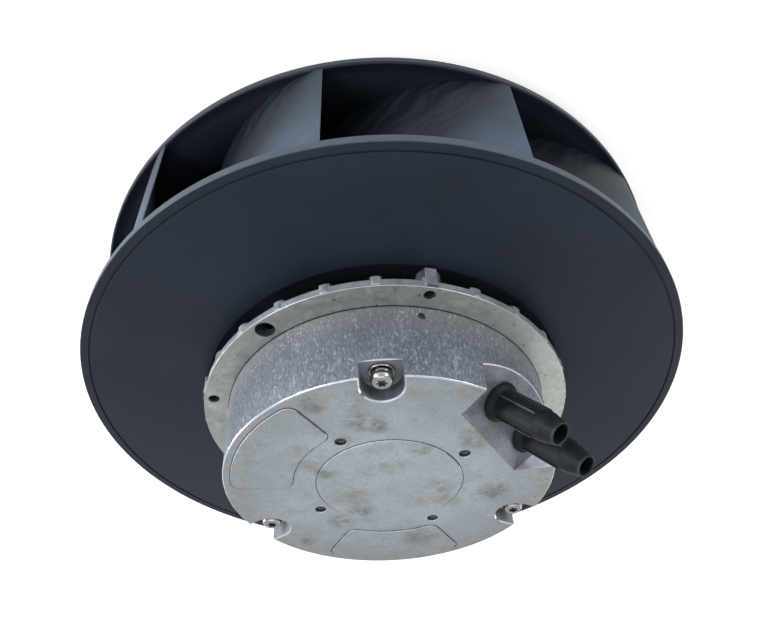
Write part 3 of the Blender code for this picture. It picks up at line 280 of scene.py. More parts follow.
# Joins the colour, the roughness and a relief whose depth is in millimetres to the surface
def surfaced(material, colour, wear, roughness, relief=None, depth=0.0, strength=0.6):
    tree = material.node_tree
    shader = tree.nodes["Principled BSDF"]
    tree.links.new(colour, shader.inputs["Base Color"])
    inputs = {"Value": wear, "To Min": roughness[0], "To Max": roughness[1]}
    tree.links.new(addNode(tree, "MapRange", inputs).outputs[0], shader.inputs["Roughness"])
    if depth:
        bump = addNode(tree, "Bump", {"Height": relief, "Distance": depth * mm, "Strength": strength})
        tree.links.new(bump.outputs[0], shader.inputs["Normal"])
    return material


# A finish from layers of noise over a ground, each (grain settings, share at 0, share at 1, hex
# value); the first layer also sets the roughness
def grained(name, ground, layers, roughness, relief, depth=0.0, strength=0.6, **values):
    material, place = newMaterial(name, **values)
    noises = [(grain(place, *settings), *rest) for settings, *rest in layers]
    bumps = grain(place, *relief) if depth else None
    return surfaced(material, layered(ground, *noises), noises[0][0], roughness, bumps, depth, strength)


# Any plain material with a little life in its colour and roughness
def workshopFinish(name, first, second, size, roughness, depth=0.0, **values):
    layers = [((size, 0.3, 0.7, 3), 0, 1, second)]
    return grained(name, first, layers, roughness, (size / 3, 0.2, 0.8, 3), depth, **values)


polyamideValues = {"IOR": 1.53, "Specular_Tint": toLinear("#dfe9fb")}


# The same plastic on the blades, where the melt front has left long pale flow marks that run
# from the hub out and fan towards the trailing edge, under painted light and painted shade
def bladePolyamide():
    material, place = newMaterial("flowMarkedPolyamideWithPaintedLight", Specular_IOR_Level=0.1, **polyamideValues)
    tree, along = material.node_tree, place.node.outputs["UV"]
    bend = addNode(tree, "TexNoise", {"Vector": along, "Scale": 2.6, "Detail": 2.0}).outputs["Color"]
    drift = {0: bend, 1: (0.22, 0.22, 0), 2: along}
    flow = addNode(tree, "VectorMath", drift, operation="MULTIPLY_ADD").outputs[0]
    leaned = addNode(tree, "Mapping", {"Vector": flow, "Rotation": (0, 0, radians(-62))}).outputs[0]
    drawn = addNode(tree, "Mapping", {"Vector": leaned, "Scale": (1.2, 9.0, 1)}).outputs[0]
    streaks = addNode(tree, "TexNoise", {"Vector": drawn, "Scale": 2.0, "Detail": 5.0, "Roughness": 0.65})
    inputs = {"Value": streaks.outputs["Fac"], "From Min": 0.42, "From Max": 0.66}
    fine = addNode(tree, "MapRange", inputs).outputs[0]
    # Painted light: paler near the tail and the plate, where light falls; painted shade: darker towards the
    # shroud and the hub
    parts = addNode(tree, "SeparateXYZ", {0: flow}).outputs
    level = addNode(tree, "Math", {0: parts["X"], 1: -2.6, 2: parts["Y"]}, operation="MULTIPLY_ADD")
    paintedLightShare, paintedShadeShare = (
        addNode(tree, "MapRange", {"Value": level.outputs[0], "From Min": low, "From Max": high}).outputs[0]
        for low, high in ((-0.25, 0.55), (-1.0, -0.1))
    )
    colour = layered(
        "#0a0e14", (paintedShadeShare, 0, 0.8, "#151a21"), (paintedLightShare, 0, 1, "#475361"), (fine, 0, 0.45, "#2a3139"),
    )
    return surfaced(material, colour, paintedLightShare, (0.5, 0.62), grain(place, 0.35, 0.2, 0.8, 2), 0.012, 0.5)


# Where fingers and tools have stained the cover's face (x, y, radius), and where oil has dried on it
handledSpots = [
    (-8.7, 40.7, 9.0), (-2.5, 37.5, 7.0), (-24.4, 50.6, 7.0), (32.0, 26.0, 9.0), (41.5, -10.7, 9.0),
    (-12.2, -18.3, 8.0), (-20.6, -26.8, 8.0), (-36.6, -42.7, 5.0), (11.6, -42.2, 11.0), (11.9, 22.3, 6.0),
    (20.8, -3.6, 6.0), (-24.0, 10.0, 6.0),
]
oilSpots = [(-1.7, 12.6, 3.0), (-16.0, 30.0, 5.0)]


# Soft discs on the cover's face, the largest value of all
def discs(place, spots):
    tree, total = place.id_data, None
    for x, y, radius in spots:
        spot = (x * mm, y * mm, coverTop * mm)
        away = addNode(tree, "VectorMath", {0: place, 1: spot}, operation="DISTANCE").outputs["Value"]
        inputs = {"Value": away, "From Min": radius * mm, "From Max": radius * mm * 0.25}
        disc = addNode(tree, "MapRange", inputs, interpolation_type="SMOOTHSTEP").outputs[0]
        total = addNode(tree, "Math", {0: total, 1: disc}, operation="MAXIMUM").outputs[0] if total else disc
    return total


# Die-cast aluminium as it leaves the tool, stored without paint: light grey with clouds of
# oxide, brown handling stains, dark pin holes and fine scratches
def castFace():
    material, place = newMaterial("dieCastAluminiumFace", Metallic=0.85)
    tree = material.node_tree
    clouds = grain(place, 22, 0.3, 0.7, 5, 0.6)
    mottles = grain(place, 3.2, 0.35, 0.7, 4, 0.6)
    specks = grain(place, 1.0, 0.4, 0.7, 3, 0.65)
    stains = grain(place, 21, 0.52, 0.70, 6, 0.72)
    pinHoles = grain(place, 1.3, 0.72, 0.77, 1)
    scratches = grain(place, 1.1, 0.68, 0.74, 2, 0.5, (0.05, 1.0, 1.0))
    handled = {0: discs(place, handledSpots), 1: grain(place, 5, 0.36, 0.6, 5, 0.7)}
    handled = addNode(tree, "Math", handled, operation="MULTIPLY").outputs[0]
    fromAxis = addNode(tree, "VectorMath", {0: place, 1: (1, 1, 0)}, operation="MULTIPLY").outputs[0]
    fromAxis = addNode(tree, "VectorMath", {0: fromAxis}, operation="LENGTH").outputs["Value"]
    rim = {"Value": fromAxis, "From Min": 36 * mm, "From Max": 62 * mm}
    rim = addNode(tree, "MapRange", rim).outputs[0]
    soiled = addNode(tree, "Math", {0: rim, 1: mottles}, operation="MULTIPLY").outputs[0]
    # Darker bluish grey near the rim, and painted shade towards -y
    lowSideShade = {"Value": addNode(tree, "SeparateXYZ", {0: place}).outputs["Y"], "To Max": 0.26}
    lowSideShade = addNode(tree, "MapRange", {**lowSideShade, "From Min": 5 * mm, "From Max": -60 * mm}).outputs[0]
    rimDarkeningAndLowSideShade = addNode(tree, "Math", {0: rim, 1: 0.2, 2: lowSideShade}, operation="MULTIPLY_ADD").outputs[0]
    colour = layered(
        "#8d979e", (clouds, 0, 1, "#aab3ba"), (mottles, 0, 0.5, "#abb2b7"), (specks, 0, 0.3, "#6f767c"),
        (rimDarkeningAndLowSideShade, 0, 1, "#747b83"), (stains, 0, 0.6, "#726d66"), (soiled, 0, 0.55, "#7d7a75"),
        (handled, 0, 0.7, "#625d56"), (discs(place, oilSpots), 0, 0.4, "#7c725c"),
        (pinHoles, 0, 0.6, "#5f605f"), (scratches, 0, 0.28, "#c4c8ca"),
    )
    return surfaced(material, colour, mottles, (0.42, 0.56), grain(place, 0.9, 0.2, 0.8, 4, 0.6), 0.03)


# The drafted wall of the same casting: coarse and bluish with painted glints, drawn a little along the
# way it left the tool, in crystals of about 0.8 mm
def castWall():
    material, place = newMaterial("dieCastAluminiumWall", Metallic=0.6)
    tree = material.node_tree
    clouds = grain(place, 20, 0.3, 0.7, 3)
    crystals = grain(place, 0.8, 0.38, 0.60, 2, 0.6, (1.0, 1.0, 0.36))
    # Painted glints: small bright specks
    paintedGlints = grain(place, 0.75, 0.6, 0.7, 1, 0.5, (1.0, 1.0, 0.5))
    grime = grain(place, 5.5, 0.45, 0.75, 5, 0.7)
    rubbed = grain(place, 2.4, 0.54, 0.74, 4, 0.65, (1.0, 1.0, 0.35))
    foot = {"From Min": (coverLow + 13) * mm, "From Max": (coverLow + 3) * mm}
    foot["Value"] = addNode(tree, "SeparateXYZ", {0: place}).outputs["Z"]
    colour = layered(
        "#666d79", (clouds, 0, 1, "#7c838f"), (rubbed, 0, 0.45, "#bac1cd"), (crystals, 0.52, 0, "#39404b"),
        (grime, 0, 0.4, "#565a63"), (addNode(tree, "MapRange", foot).outputs[0], 0, 0.4, "#7a7976"),
        (paintedGlints, 0, 0.35, "#c9d0dc"),
    )
    return surfaced(material, colour, crystals, (0.55, 0.42), crystals, 0.03)


# Faced on a lathe, then stored: fine turning rings under warm grey-green oxide clouds, with a
# few dark casting pits. The real feed of about 0.2 mm is drawn at 0.7 mm.
def turnedFace():
    material, place = newMaterial("facedAluminium", Metallic=0.85)
    tree = material.node_tree
    clouds = grain(place, 9, 0.32, 0.68, 5, 0.6)
    mottles = grain(place, 2.4, 0.35, 0.7, 4)
    pits = grain(place, 2.2, 0.70, 0.76, 1)
    smears = grain(place, 6, 0.5, 0.72, 5, 0.7)
    rings = {"Vector": place, "Scale": 2 * pi / (20 * 0.7 * mm), "Distortion": 0.4}
    rings = addNode(tree, "TexWave", rings, wave_type="RINGS", rings_direction="Z").outputs["Fac"]
    # Painted light: the face is drawn paler towards +x
    across = {"Value": addNode(tree, "SeparateXYZ", {0: place}).outputs["X"], "From Max": 75 * mm}
    across = addNode(tree, "MapRange", across).outputs[0]
    colour = layered(
        "#7f8481", (clouds, 0, 1, "#9da29e"), (across, 0, 1, "#b9bdb8"), (mottles, 0, 0.5, "#979b97"),
        (rings, 0, 0.06, "#c3c6c2"), (smears, 0, 0.4, "#c9ccc8"), (pits, 0, 0.8, "#55534f"),
    )
    return surfaced(material, colour, mottles, (0.34, 0.5), rings, 0.01, 0.4)


# Polyamide filled with short glass fibre, moulded on a spark-eroded tool: a blue-black satin
# with faint clouds where the fibres lie differently, and a dull bloom on top
polyamide = grained(
    "glassFilledPolyamide", "#191f28",
    [((38, 0.3, 0.7, 4), 0, 1, "#202732"), ((0.9, 0.62, 0.74, 2), 0, 0.35, "#2e3742")],
    (0.40, 0.50), (0.35, 0.2, 0.8, 2), 0.012, 0.5, Specular_IOR_Level=0.17, **polyamideValues,
)
bladePlastic = bladePolyamide()
# Painted highlight: the thin tail of a blade is drawn paler, so its edge shows as a pale line
tailPaintedHighlight = workshopFinish(
    "polyamideTailWithPaintedHighlight", "#353d47", "#464f5a", 3, (0.45, 0.55), 0.01, Specular_IOR_Level=0.3,
)
# Painted highlight: the rim of the back plate is drawn greyer and a little duller, standing in for light
# along its edge
rimPaintedHighlight = workshopFinish(
    "polyamideRimWithPaintedHighlight", "#303843", "#3a434f", 5, (0.42, 0.52), 0.01, Specular_IOR_Level=0.2,
)
face, wall, faced = castFace(), castWall(), turnedFace()
# The rim of the flange is the same skin, but even and lighter where it slid out of the tool
rimSkin = grained(
    "castFlangeRim", "#90969e",
    [((7, 0.3, 0.7, 4), 0, 1, "#a7adb5"), ((0.9, 0.4, 0.7, 3), 0, 0.35, "#6f757d")],
    (0.45, 0.58), (0.9, 0.4, 0.7, 3), 0.03, 0.5, Metallic=0.85,
)
# Casting skin in the recesses, drawn darker as painted shade
recess = grained(
    "pocketSkinWithPaintedShade", "#666b72", [((6, 0.3, 0.7, 4), 0, 1, "#82878f")],
    (0.45, 0.6), (0.8, 0.2, 0.8, 3), 0.05, 0.7, Metallic=0.6,
)
# The gland face is a plane of the same skin, smoother, with more contrast and some grime, drawn darker,
# partly as painted shade from the glands
slopeSkin = grained(
    "castGlandFace", "#4a4f56",
    [
        ((9, 0.3, 0.7, 5, 0.65), 0, 1, "#71767e"), ((1.1, 0.5, 0.7, 3, 0.65), 0, 0.5, "#8a8f96"),
        ((7, 0.5, 0.7, 5, 0.7), 0, 0.5, "#4d4c49"),
    ],
    (0.4, 0.52), (0.7, 0.2, 0.8, 3), 0.03, Metallic=0.5,
)
# Freshly cut aluminium where a tool broke the edge of the casting: bright and smooth
brightEdge = grained(
    "cutAluminiumEdge", "#ccd0d7", [((4, 0.35, 0.7, 3), 0, 1, "#a3a7ae")], (0.22, 0.38), None, Metallic=1.0,
)
# Painted shade: under the flange and inside the cover the casting is drawn dark grey
paintedShadeSkin = workshopFinish("castingSkinInPaintedShade", "#4a4f55", "#62676e", 6, (0.45, 0.6), 0.04, Metallic=0.7)
# Side walls of the gland recess: the same casting, drawn pale as painted light
paintedLightSideSkin = workshopFinish("glandSideSkinWithPaintedLight", "#a3aab6", "#c3cad6", 2.5, (0.45, 0.6), 0.03, Metallic=0.3)
# The flange's rim was deburred by hand and has dulled since
dullEdge = workshopFinish(
    "deburredAluminiumEdge", "#a3a8ae", "#868b92", 4, (0.32, 0.46), 0.01, Metallic=0.95,
)
# Zinc plating passivated clear: silvery, slightly yellowed in places
zinc = workshopFinish("brightZincPlate", "#9a9da0", "#84837b", 3, (0.2, 0.34), Metallic=1.0)
# EPDM rubber moulding: dull blue-black with a greyish bloom at grazing angles
rubber = workshopFinish(
    "mouldedRubber", "#07090d", "#151a20", 3.5, (0.46, 0.62), 0.03, Specular_IOR_Level=0.12,
    Sheen_Weight=0.02, Sheen_Roughness=0.4,
)
# The same rubber on the ridges, drawn light grey as a painted highlight
ridgePaintedHighlight = workshopFinish(
    "rubberRidgeWithPaintedHighlight", "#2b323a", "#3d454e", 3, (0.5, 0.62), 0.02, Specular_IOR_Level=0.25,
)
# The same rubber where the flash was trimmed off and the edge has greyed
wornRubber = workshopFinish(
    "trimmedRubberEdge", "#14181d", "#262b32", 2, (0.5, 0.65), 0.02, Specular_IOR_Level=0.18,
)
# Deep-drawn steel can in black passivation, a soft sheen over fine drawing marks
blackSteel = workshopFinish("blackPassivatedSteel", "#101113", "#1d1f22", 6, (0.3, 0.45), 0.01, Metallic=0.4)
# Hardened and ground bearing steel: almost mirror bright with a trace of grinding
groundSteel = workshopFinish("groundBearingSteel", "#c9ccd1", "#b3b6bb", 4, (0.1, 0.2), Metallic=1.0)
# Varnished electrical steel sheets seen on edge
laminations = workshopFinish(
    "varnishedLaminations", "#5c6068", "#747982", 0.8, (0.4, 0.55), 0.02, Metallic=0.8,
)
# Plastic-bonded ferrite: dead matt dark grey
ferrite = workshopFinish("bondedFerrite", "#202124", "#2c2d31", 1.5, (0.7, 0.85), 0.02)
# Enamelled copper wire: amber varnish over bright copper
copper = workshopFinish("enamelledCopper", "#b9652a", "#8f4718", 0.9, (0.22, 0.4), 0.03, Metallic=0.9)
# Natural polyamide, ivory and slightly waxy
ivory = workshopFinish("naturalPolyamide", "#d8d0bb", "#c9bfa6", 8, (0.4, 0.55), Subsurface_Weight=0.1)
# Green solder mask over a glass weave that shows faintly
solderMask = workshopFinish("solderMask", "#0c4a26", "#116032", 1.2, (0.25, 0.4), 0.015)
# Soft silicone sheet loaded with oxide
silicone = workshopFinish("filledSilicone", "#8c9096", "#a2a5aa", 2, (0.6, 0.75), 0.02)
# Black housing plastic with a fine moulded grain
blackPlastic = workshopFinish("blackThermoplastic", "#131416", "#1e2023", 2, (0.4, 0.55), 0.01)
print("materials made")


plateSizes = {
    "thickness": 3.0, "rimHeight": 3.9, "rimWidth": 4.4, "rimRound": 0.4,
    "grooveRadius": 121.35, "grooveWidth": 0.9, "grooveDepth": 0.6,
    "opening": 74.0, "curveRadius": 78.0, "curveHeight": 26.0, "dishShort": 1.2,
    "hubOuter": 53.1, "hubInner": 50.3, "hubWall": 2.8, "eye": 30.0, "steps": 192,
}
# Where the four screws that hold the hub to the can stand, and the radius of their holes
hubScrewPlaces, hubHole = around(39, 0, 4), 2.3


# Back plate: disc with a beaded rim, curving down like a bell into the hub that holds the can
def buildBackPlate(s):
    under = plateTop - s["thickness"]
    bead = plateTop - s["rimHeight"]
    beadFoot = fanRadius - s["rimWidth"]
    centre = (s["curveRadius"], under - s["curveHeight"])
    flowSide = arc(centre, (s["curveRadius"] - s["hubOuter"], s["curveHeight"]), 90, 180, 24)
    dish = (s["curveRadius"] - s["hubInner"], s["curveHeight"] + s["thickness"] - s["dishShort"])
    openingAngle = degrees(acos((s["opening"] - s["curveRadius"]) / dish[0]))
    motorSide = arc(centre, dish, 180, openingAngle, 24)
    groove = s["grooveRadius"]
    half = s["grooveWidth"] / 2
    outline = rounded([
        (fanRadius, plateTop, s["rimRound"]), (fanRadius, bead, s["rimRound"]), (beadFoot, bead, 0.4),
        (beadFoot - 1.5, under, 0.8), *flowSide, (s["hubOuter"], hubLow, 2.2), (s["eye"], hubLow, 0.4),
        (s["eye"], hubLow + s["hubWall"], 0.4), (s["hubInner"], hubLow + s["hubWall"], 1.2), *motorSide,
        (s["opening"], plateTop, 0.35), (groove - half, plateTop, 0.12),
        (groove - half * 0.6, plateTop - s["grooveDepth"], 0.12),
        (groove + half * 0.6, plateTop - s["grooveDepth"], 0.12), (groove + half, plateTop, 0.12),
    ])
    plate = solid("backPlateMoulding", turned(outline, s["steps"]))
    combined(plate, cylinder(hubHole, hubLow - 4, hubLow + 4, 24), hubScrewPlaces)

    # The rim's outer faces take the painted highlight
    def atRim(polygon):
        reach = hypot(*polygon.center.xy) / mm
        return 1 if reach > fanRadius - 0.3 and abs(polygon.normal.z) < 0.9 else 0

    finished(
        plate, [polyamide, rimPaintedHighlight], "rotor", "impeller_plastic", "impeller_back_plate", choose=atRim,
    )


buildBackPlate(plateSizes)

shroudSizes = {
    "rimHeight": 3.8, "rimWidth": 3.5, "rimFlat": 1.0, "rimStep": 1.4, "wall": 2.2,
    "inlet": 87.5, "lip": 2.0, "lipRound": 0.6, "rimRound": 0.7, "steps": 192,
}


# Height of the shroud's flow side over the lip at a radius
def shroudHeight(radius, s=shroudSizes):
    centre = fanRadius - s["rimWidth"]
    share = min(max((centre - radius) / (centre - s["inlet"]), 0.0), 1.0)
    rise = shroudTop - s["rimStep"] - s["lip"]
    return s["lip"] + rise * sqrt(1 - share * share)


# Shroud: the ring that guides the air from the inlet lip round into the blades
def buildShroud(s):
    centre = (fanRadius - s["rimWidth"], s["lip"])
    radii = (centre[0] - s["inlet"], shroudTop - s["rimStep"] - s["lip"])
    outer = (radii[0] - s["wall"], radii[1] - s["wall"])
    outline = rounded([
        (fanRadius, shroudTop, s["rimRound"]), (fanRadius, shroudTop - s["rimHeight"], s["rimRound"]),
        (centre[0], shroudTop - s["rimHeight"]), *arc(centre, outer, 90, 180, 28)[1:],
        (s["inlet"] + s["wall"], 0.0, s["lipRound"]), (s["inlet"], 0.0, s["lipRound"]),
        *arc(centre, radii, 180, 90, 28), (fanRadius - s["rimFlat"], shroudTop, 0.4),
    ])
    shroud = solid("inletShroudMoulding", turned(outline, s["steps"]))
    finished(shroud, [polyamide], "rotor", "impeller_plastic", "impeller_shroud")


buildShroud(shroudSizes)

bladeSizes = {
    "count": 11, "first": 97.3, "outlet": 14.25, "curve": 80.0, "tail": 0.9, "belly": 3.0,
    "root": 81.5, "tip": 90.5, "into": 0.5, "inset": 0.5, "tailEdge": 3.0, "along": 36, "up": 14,
}


# Point on the middle line of a blade at a way along its arc from the trailing edge
def bladePoint(run, offset, s):
    lean = radians(s["outlet"])
    turn = lean + run / s["curve"]
    reach = s["curve"] + offset
    start = fanRadius - s["inset"]
    centre = (start - s["curve"] * cos(lean), -s["curve"] * sin(lean))
    return centre[0] + reach * cos(turn), centre[1] + reach * sin(turn)


# Way along the arc at which the blade reaches a radius
def bladeRun(radius, s):
    low, high = 0.0, 110.0
    while high - low > 0.01:
        middle = (low + high) / 2
        if hypot(*bladePoint(middle, 0.0, s)) > radius:
            low = middle
        else:
            high = middle
    return low


# A slab of even squares bent into a blade between the shroud and the plate
def buildBlade(s):
    shape = bmesh.new()
    shape.loops.layers.uv.new("flow")
    bmesh.ops.create_grid(shape, x_segments=s["along"], y_segments=s["up"], size=0.5, calc_uvs=True)
    raised = bmesh.ops.extrude_face_region(shape, geom=shape.faces[:])
    moved = [item for item in raised["geom"] if isinstance(item, bmesh.types.BMVert)]
    bmesh.ops.translate(shape, verts=moved, vec=(0, 0, 1))
    top = plateTop - plateSizes["thickness"] + s["into"]
    foot = shroudHeight(s["tip"])
    for vert in shape.verts:
        share, level, side = vert.co.x + 0.5, vert.co.y + 0.5, vert.co.z - 0.5
        height = foot + (top - foot) * level
        for _ in range(5):
            lead = s["tip"] + (s["root"] - s["tip"]) * max(height - foot, 0.0) / (top - foot)
            run = share * bladeRun(lead, s)
            low = shroudHeight(hypot(*bladePoint(run, 0.0, s))) - s["into"]
            height = low + (top - low) * level
        swell = sin(pi * min(share * 1.6, 0.5 + share * 0.3, 1.0))
        thickness = s["tail"] + (s["belly"] - s["tail"]) * swell
        spot = Vector(bladePoint(run, side * thickness, s))
        spot *= min(1.0, (fanRadius - s["inset"]) / spot.length)
        vert.co = (spot.x * mm, spot.y * mm, height * mm)
    bmesh.ops.recalc_face_normals(shape, faces=shape.faces)
    ends = [
        edge for edge in shape.edges
        if edge.calc_face_angle(0.0) > radians(50) and abs(edge.verts[0].co.z - edge.verts[1].co.z) > mm
    ]
    softened(shape, ends, 0.25, 2)
    return shape


def buildBlades(s):
    blank = buildBlade(s)
    mesh = bpy.data.meshes.new("blade")
    blank.to_mesh(mesh)
    blank.free()

    # Faces near the tail take the painted highlight
    def atTail(polygon):
        reach = hypot(*polygon.center.xy)
        across = abs(polygon.normal.xy.dot(polygon.center.xy)) / reach
        return 1 if reach > (fanRadius - s["tailEdge"]) * mm and across < 0.75 else 0

    for index in range(s["count"]):
        shape = bmesh.new()
        shape.from_mesh(mesh)
        shape.transform(turnedBy(s["first"] + 360 * index / s["count"]))
        blade, node = solid(f"bladeMoulding{index + 1:02d}", shape), f"blade_{index + 1:02d}"
        plastics = [bladePlastic, tailPaintedHighlight]
        finished(blade, plastics, "rotor", "impeller_plastic", node, choose=atTail, sharp=50)
    bpy.data.meshes.remove(mesh)


buildBlades(bladeSizes)
print("impeller made")


canSizes = {
    "outer": 50.0, "inner": 47.5, "wall": 2.5, "round": 2.2, "boss": 8.5, "bossLow": 2.5, "bossHigh": 3.0,
    "bore": 4.3, "steps": 128,
}


# Drawn steel can whose floor carries a boss for the shaft
def buildCan(s):
    under = canLow + s["bossLow"]
    floor = under + s["wall"]
    outline = rounded([
        (s["outer"], canTop, 0.5), (s["outer"], under, s["round"]), (s["boss"], under, 0.8),
        (s["boss"] - 0.8, canLow, 0.5), (s["bore"], canLow, 0.3),
        (s["bore"], floor + s["bossHigh"], 0.3), (s["boss"], floor + s["bossHigh"], 0.4),
        (s["boss"], floor, 0.5), (s["inner"], floor, 1.2), (s["inner"], canTop, 0.4),
    ])
    can = solid("rotorCanShell", turned(outline, s["steps"]))
    combined(can, cylinder(hubHole, under - 4, floor + 4, 24), hubScrewPlaces)
    finished(can, [blackSteel], "rotor", "black_steel", "rotor_can")


buildCan(canSizes)

shaftSizes = {
    "radius": 4.0, "collar": 5.2, "collarLow": 8.0, "collarWidth": 1.8, "chamfer": 0.5, "groove": 3.4,
    "clipGap": 0.3, "centre": 1.3, "steps": 48,
}


# Ground shaft with its collar, clip groove and a lathe centre in its lower end
def buildShaft(s):
    low, high = heights("shaft")
    clipLow, clipHigh = heights("shaft_clip")
    grooveLow, grooveHigh = clipLow - s["clipGap"], clipHigh + s["clipGap"]
    collar = low + s["collarLow"]
    outline = rounded([
        (0.0, high), (s["radius"], high, s["chamfer"]), (s["radius"], grooveHigh), (s["groove"], grooveHigh),
        (s["groove"], grooveLow), (s["radius"], grooveLow), (s["radius"], collar + s["collarWidth"]),
        (s["collar"], collar + s["collarWidth"], 0.3), (s["collar"], collar, 0.3), (s["radius"], collar),
        (s["radius"], low, s["chamfer"]), (s["centre"], low), (0.0, low + 1.6),
    ])
    shaft = solid("groundShaft", turned(outline, s["steps"], closed=False))
    finished(shaft, [groundSteel], "rotor", "bright_steel", "shaft")


buildShaft(shaftSizes)

screwSizes = {
    "shank": 2.0, "head": 4.0, "height": 2.8, "crown": 0.7, "recess": 1.95, "recessDepth": 1.7,
    "steps": 40,
}


# Six-lobed outline of the recess
def starOutline(radius, lobes=6, steps=48):
    turns = [2 * pi * step / steps for step in range(steps)]
    reaches = [radius * (0.84 + 0.16 * cos(lobes * turn)) for turn in turns]
    return [(reach * cos(turn), reach * sin(turn)) for reach, turn in zip(reaches, turns)]


# Pan-head screw with a star recess, standing on its seat at height 0
def buildScrew(name, s, length, place, body, node, headHeight=None, turn=0.0):
    height = headHeight or s["height"]
    outline = rounded([
        (0.0, height), (s["head"] - 0.4, height, s["crown"] * 1.6), (s["head"], height * 0.45, 0.6),
        (s["head"], 0.0, 0.15), (s["shank"], 0.0), (s["shank"], -length, 0.4), (0.0, -length),
    ])
    screw = solid(name, turned(outline, s["steps"], closed=False))
    combined(screw, slab(starOutline(s["recess"]), height - s["recessDepth"], height + 1))
    screw.data.transform(place @ turnedBy(turn))
    finished(screw, [zinc], body, "zinc_plate", node, sharp=28)


# The three cover screws: their circle, where they stand, and the gap under a hub screw's head
screwCircle, screwAngles, headGap = 58.3, [90.5 + 120 * k for k in range(3)], 0.3
screwPlaces = [at(screwCircle, angle) for angle in screwAngles]
upsideDown = Matrix.Translation((0, 0, (hubLow - headGap) * mm)) @ Matrix.Rotation(pi, 4, "X")
for k, place in enumerate(hubScrewPlaces):
    name = f"impeller_screw_{k + 1}"
    low, high = heights(name)
    buildScrew(
        f"hubScrew{k + 1}", screwSizes, high - hubLow, place @ upsideDown, "rotor", name,
        hubLow - headGap - low, 35 * k,
    )
print("hub made")

washerSizes = {
    "outer": 4.7, "inner": 2.25, "springOuter": 3.8, "springInner": 2.3, "climb": 0.2, "sweep": 350,
    "steps": 44,
}


def buildWashers(s):
    for k, place in enumerate(screwPlaces):
        low, high = heights(f"flat_washer_{k + 1}")
        ring = turned(ringOutline(s["outer"], s["inner"], low, high, 0.25, 0.15), 48)
        washer = solid(f"plainWasher{k + 1}", ring)
        washer.data.transform(place)
        finished(washer, [zinc], "stator", "zinc_plate", f"flat_washer_{k + 1}")
        low, high = heights(f"spring_washer_{k + 1}")
        # One turn of square wire that climbs by a third of its own thickness and stops short
        shape = bmesh.new()
        square = ringOutline(s["springOuter"], s["springInner"], low, high - s["climb"], 0.12, 0.12, 2)
        start = shape.faces.new([shape.verts.new((x * mm, 0, z * mm)) for x, z in square])
        bmesh.ops.spin(
            shape, geom=[start], cent=(0, 0, 0), axis=(0, 0, 1), angle=radians(s["sweep"]),
            dvec=(0, 0, s["climb"] / s["steps"] * mm), steps=s["steps"],
        )
        ring = solid(f"springWasher{k + 1}", tidied(shape))
        ring.data.transform(place @ turnedBy(40 + 70 * k))
        finished(ring, [zinc], "stator", "zinc_plate", f"spring_washer_{k + 1}")


buildWashers(washerSizes)
for k, angle in enumerate(screwAngles):
    name = f"cover_screw_{k + 1}"
    low, high = heights(name)
    seat = high - screwSizes["height"]
    place = at(screwCircle, angle, seat)
    buildScrew(f"coverScrew{k + 1}", screwSizes, seat - low, place, "stator", name, turn=-angle + 2 + 50 * k)

flangeSizes = {
    "radius": 74.8, "thickness": 3.5, "chamfer": 0.25, "hub": 6.0, "step": 61.5, "coverSeat": 64.95,
    "seatDepth": 0.4, "collar": 18.0, "collarBore": 14.3, "steps": 200,
    "ribs": 25, "ribFirst": 33.0, "ribWidth": 4.2, "ribProud": 0.35, "ribDrop": 0.6, "ribDepth": 5.2,
    "ribLength": 16.0, "lugFirst": 75.3, "lugCircle": 70.9, "lugRadius": 4.5, "lugDepth": 6.2,
    "lugHole": 2.0, "lugProud": 0.7, "portAngle": 127.1, "portCircle": 70.1, "portRadius": 3.7,
    "postCircle": 44.5, "postFirst": -15, "post": 3.4, "postHole": 1.5, "boss": 5.0, "bossDepth": 8.5,
    "screwHole": 2.3, "screwDepth": 5.6, "pinCircle": 24.3, "pinAngles": (78, 90, 102), "pinHole": 1.2,
}


# Tool for a round hole through the flange whose mouth is broken at 45 degrees
def holeTool(radius, low, broken=0.35, steps=40):
    wide, high = radius + broken + 2, flangeFace + 4
    points = [
        (0.0, low), (radius, low), (radius, flangeFace - broken), (wide, flangeFace + 2), (wide, high),
        (0.0, high),
    ]
    return turned(points, steps, closed=False)


# Rib under the flange, with a soft end that stands proud of the rim
def ribShape(s):
    reach, half = s["radius"] + s["ribProud"], s["ribWidth"] / 2
    top, under = flangeFace - s["ribDrop"], flangeFace - s["thickness"]
    inner = reach - s["ribLength"]
    outline = rounded([(reach, -half, 1.5), (reach, half, 1.5), (inner, half), (inner, -half)], 5)
    rib = slab(outline, under - s["ribDepth"], top)
    cut = bmesh.ops.bisect_plane(
        rib, geom=rib.verts[:] + rib.edges[:] + rib.faces[:],
        plane_co=(reach * mm, 0, (under - 1.1) * mm), plane_no=(0.55, 0, -0.83), clear_outer=True,
    )
    bmesh.ops.holes_fill(rib, edges=[e for e in cut["geom_cut"] if isinstance(e, bmesh.types.BMEdge)])
    bmesh.ops.recalc_face_normals(rib, faces=rib.faces)
    ends = [
        edge for edge in rib.edges
        if min(vert.co.z for vert in edge.verts) > (top - 0.1) * mm
        and min(vert.co.x for vert in edge.verts) > (reach - 1.5) * mm
    ]
    softened(rib, ends, 0.3, 2)
    return rib


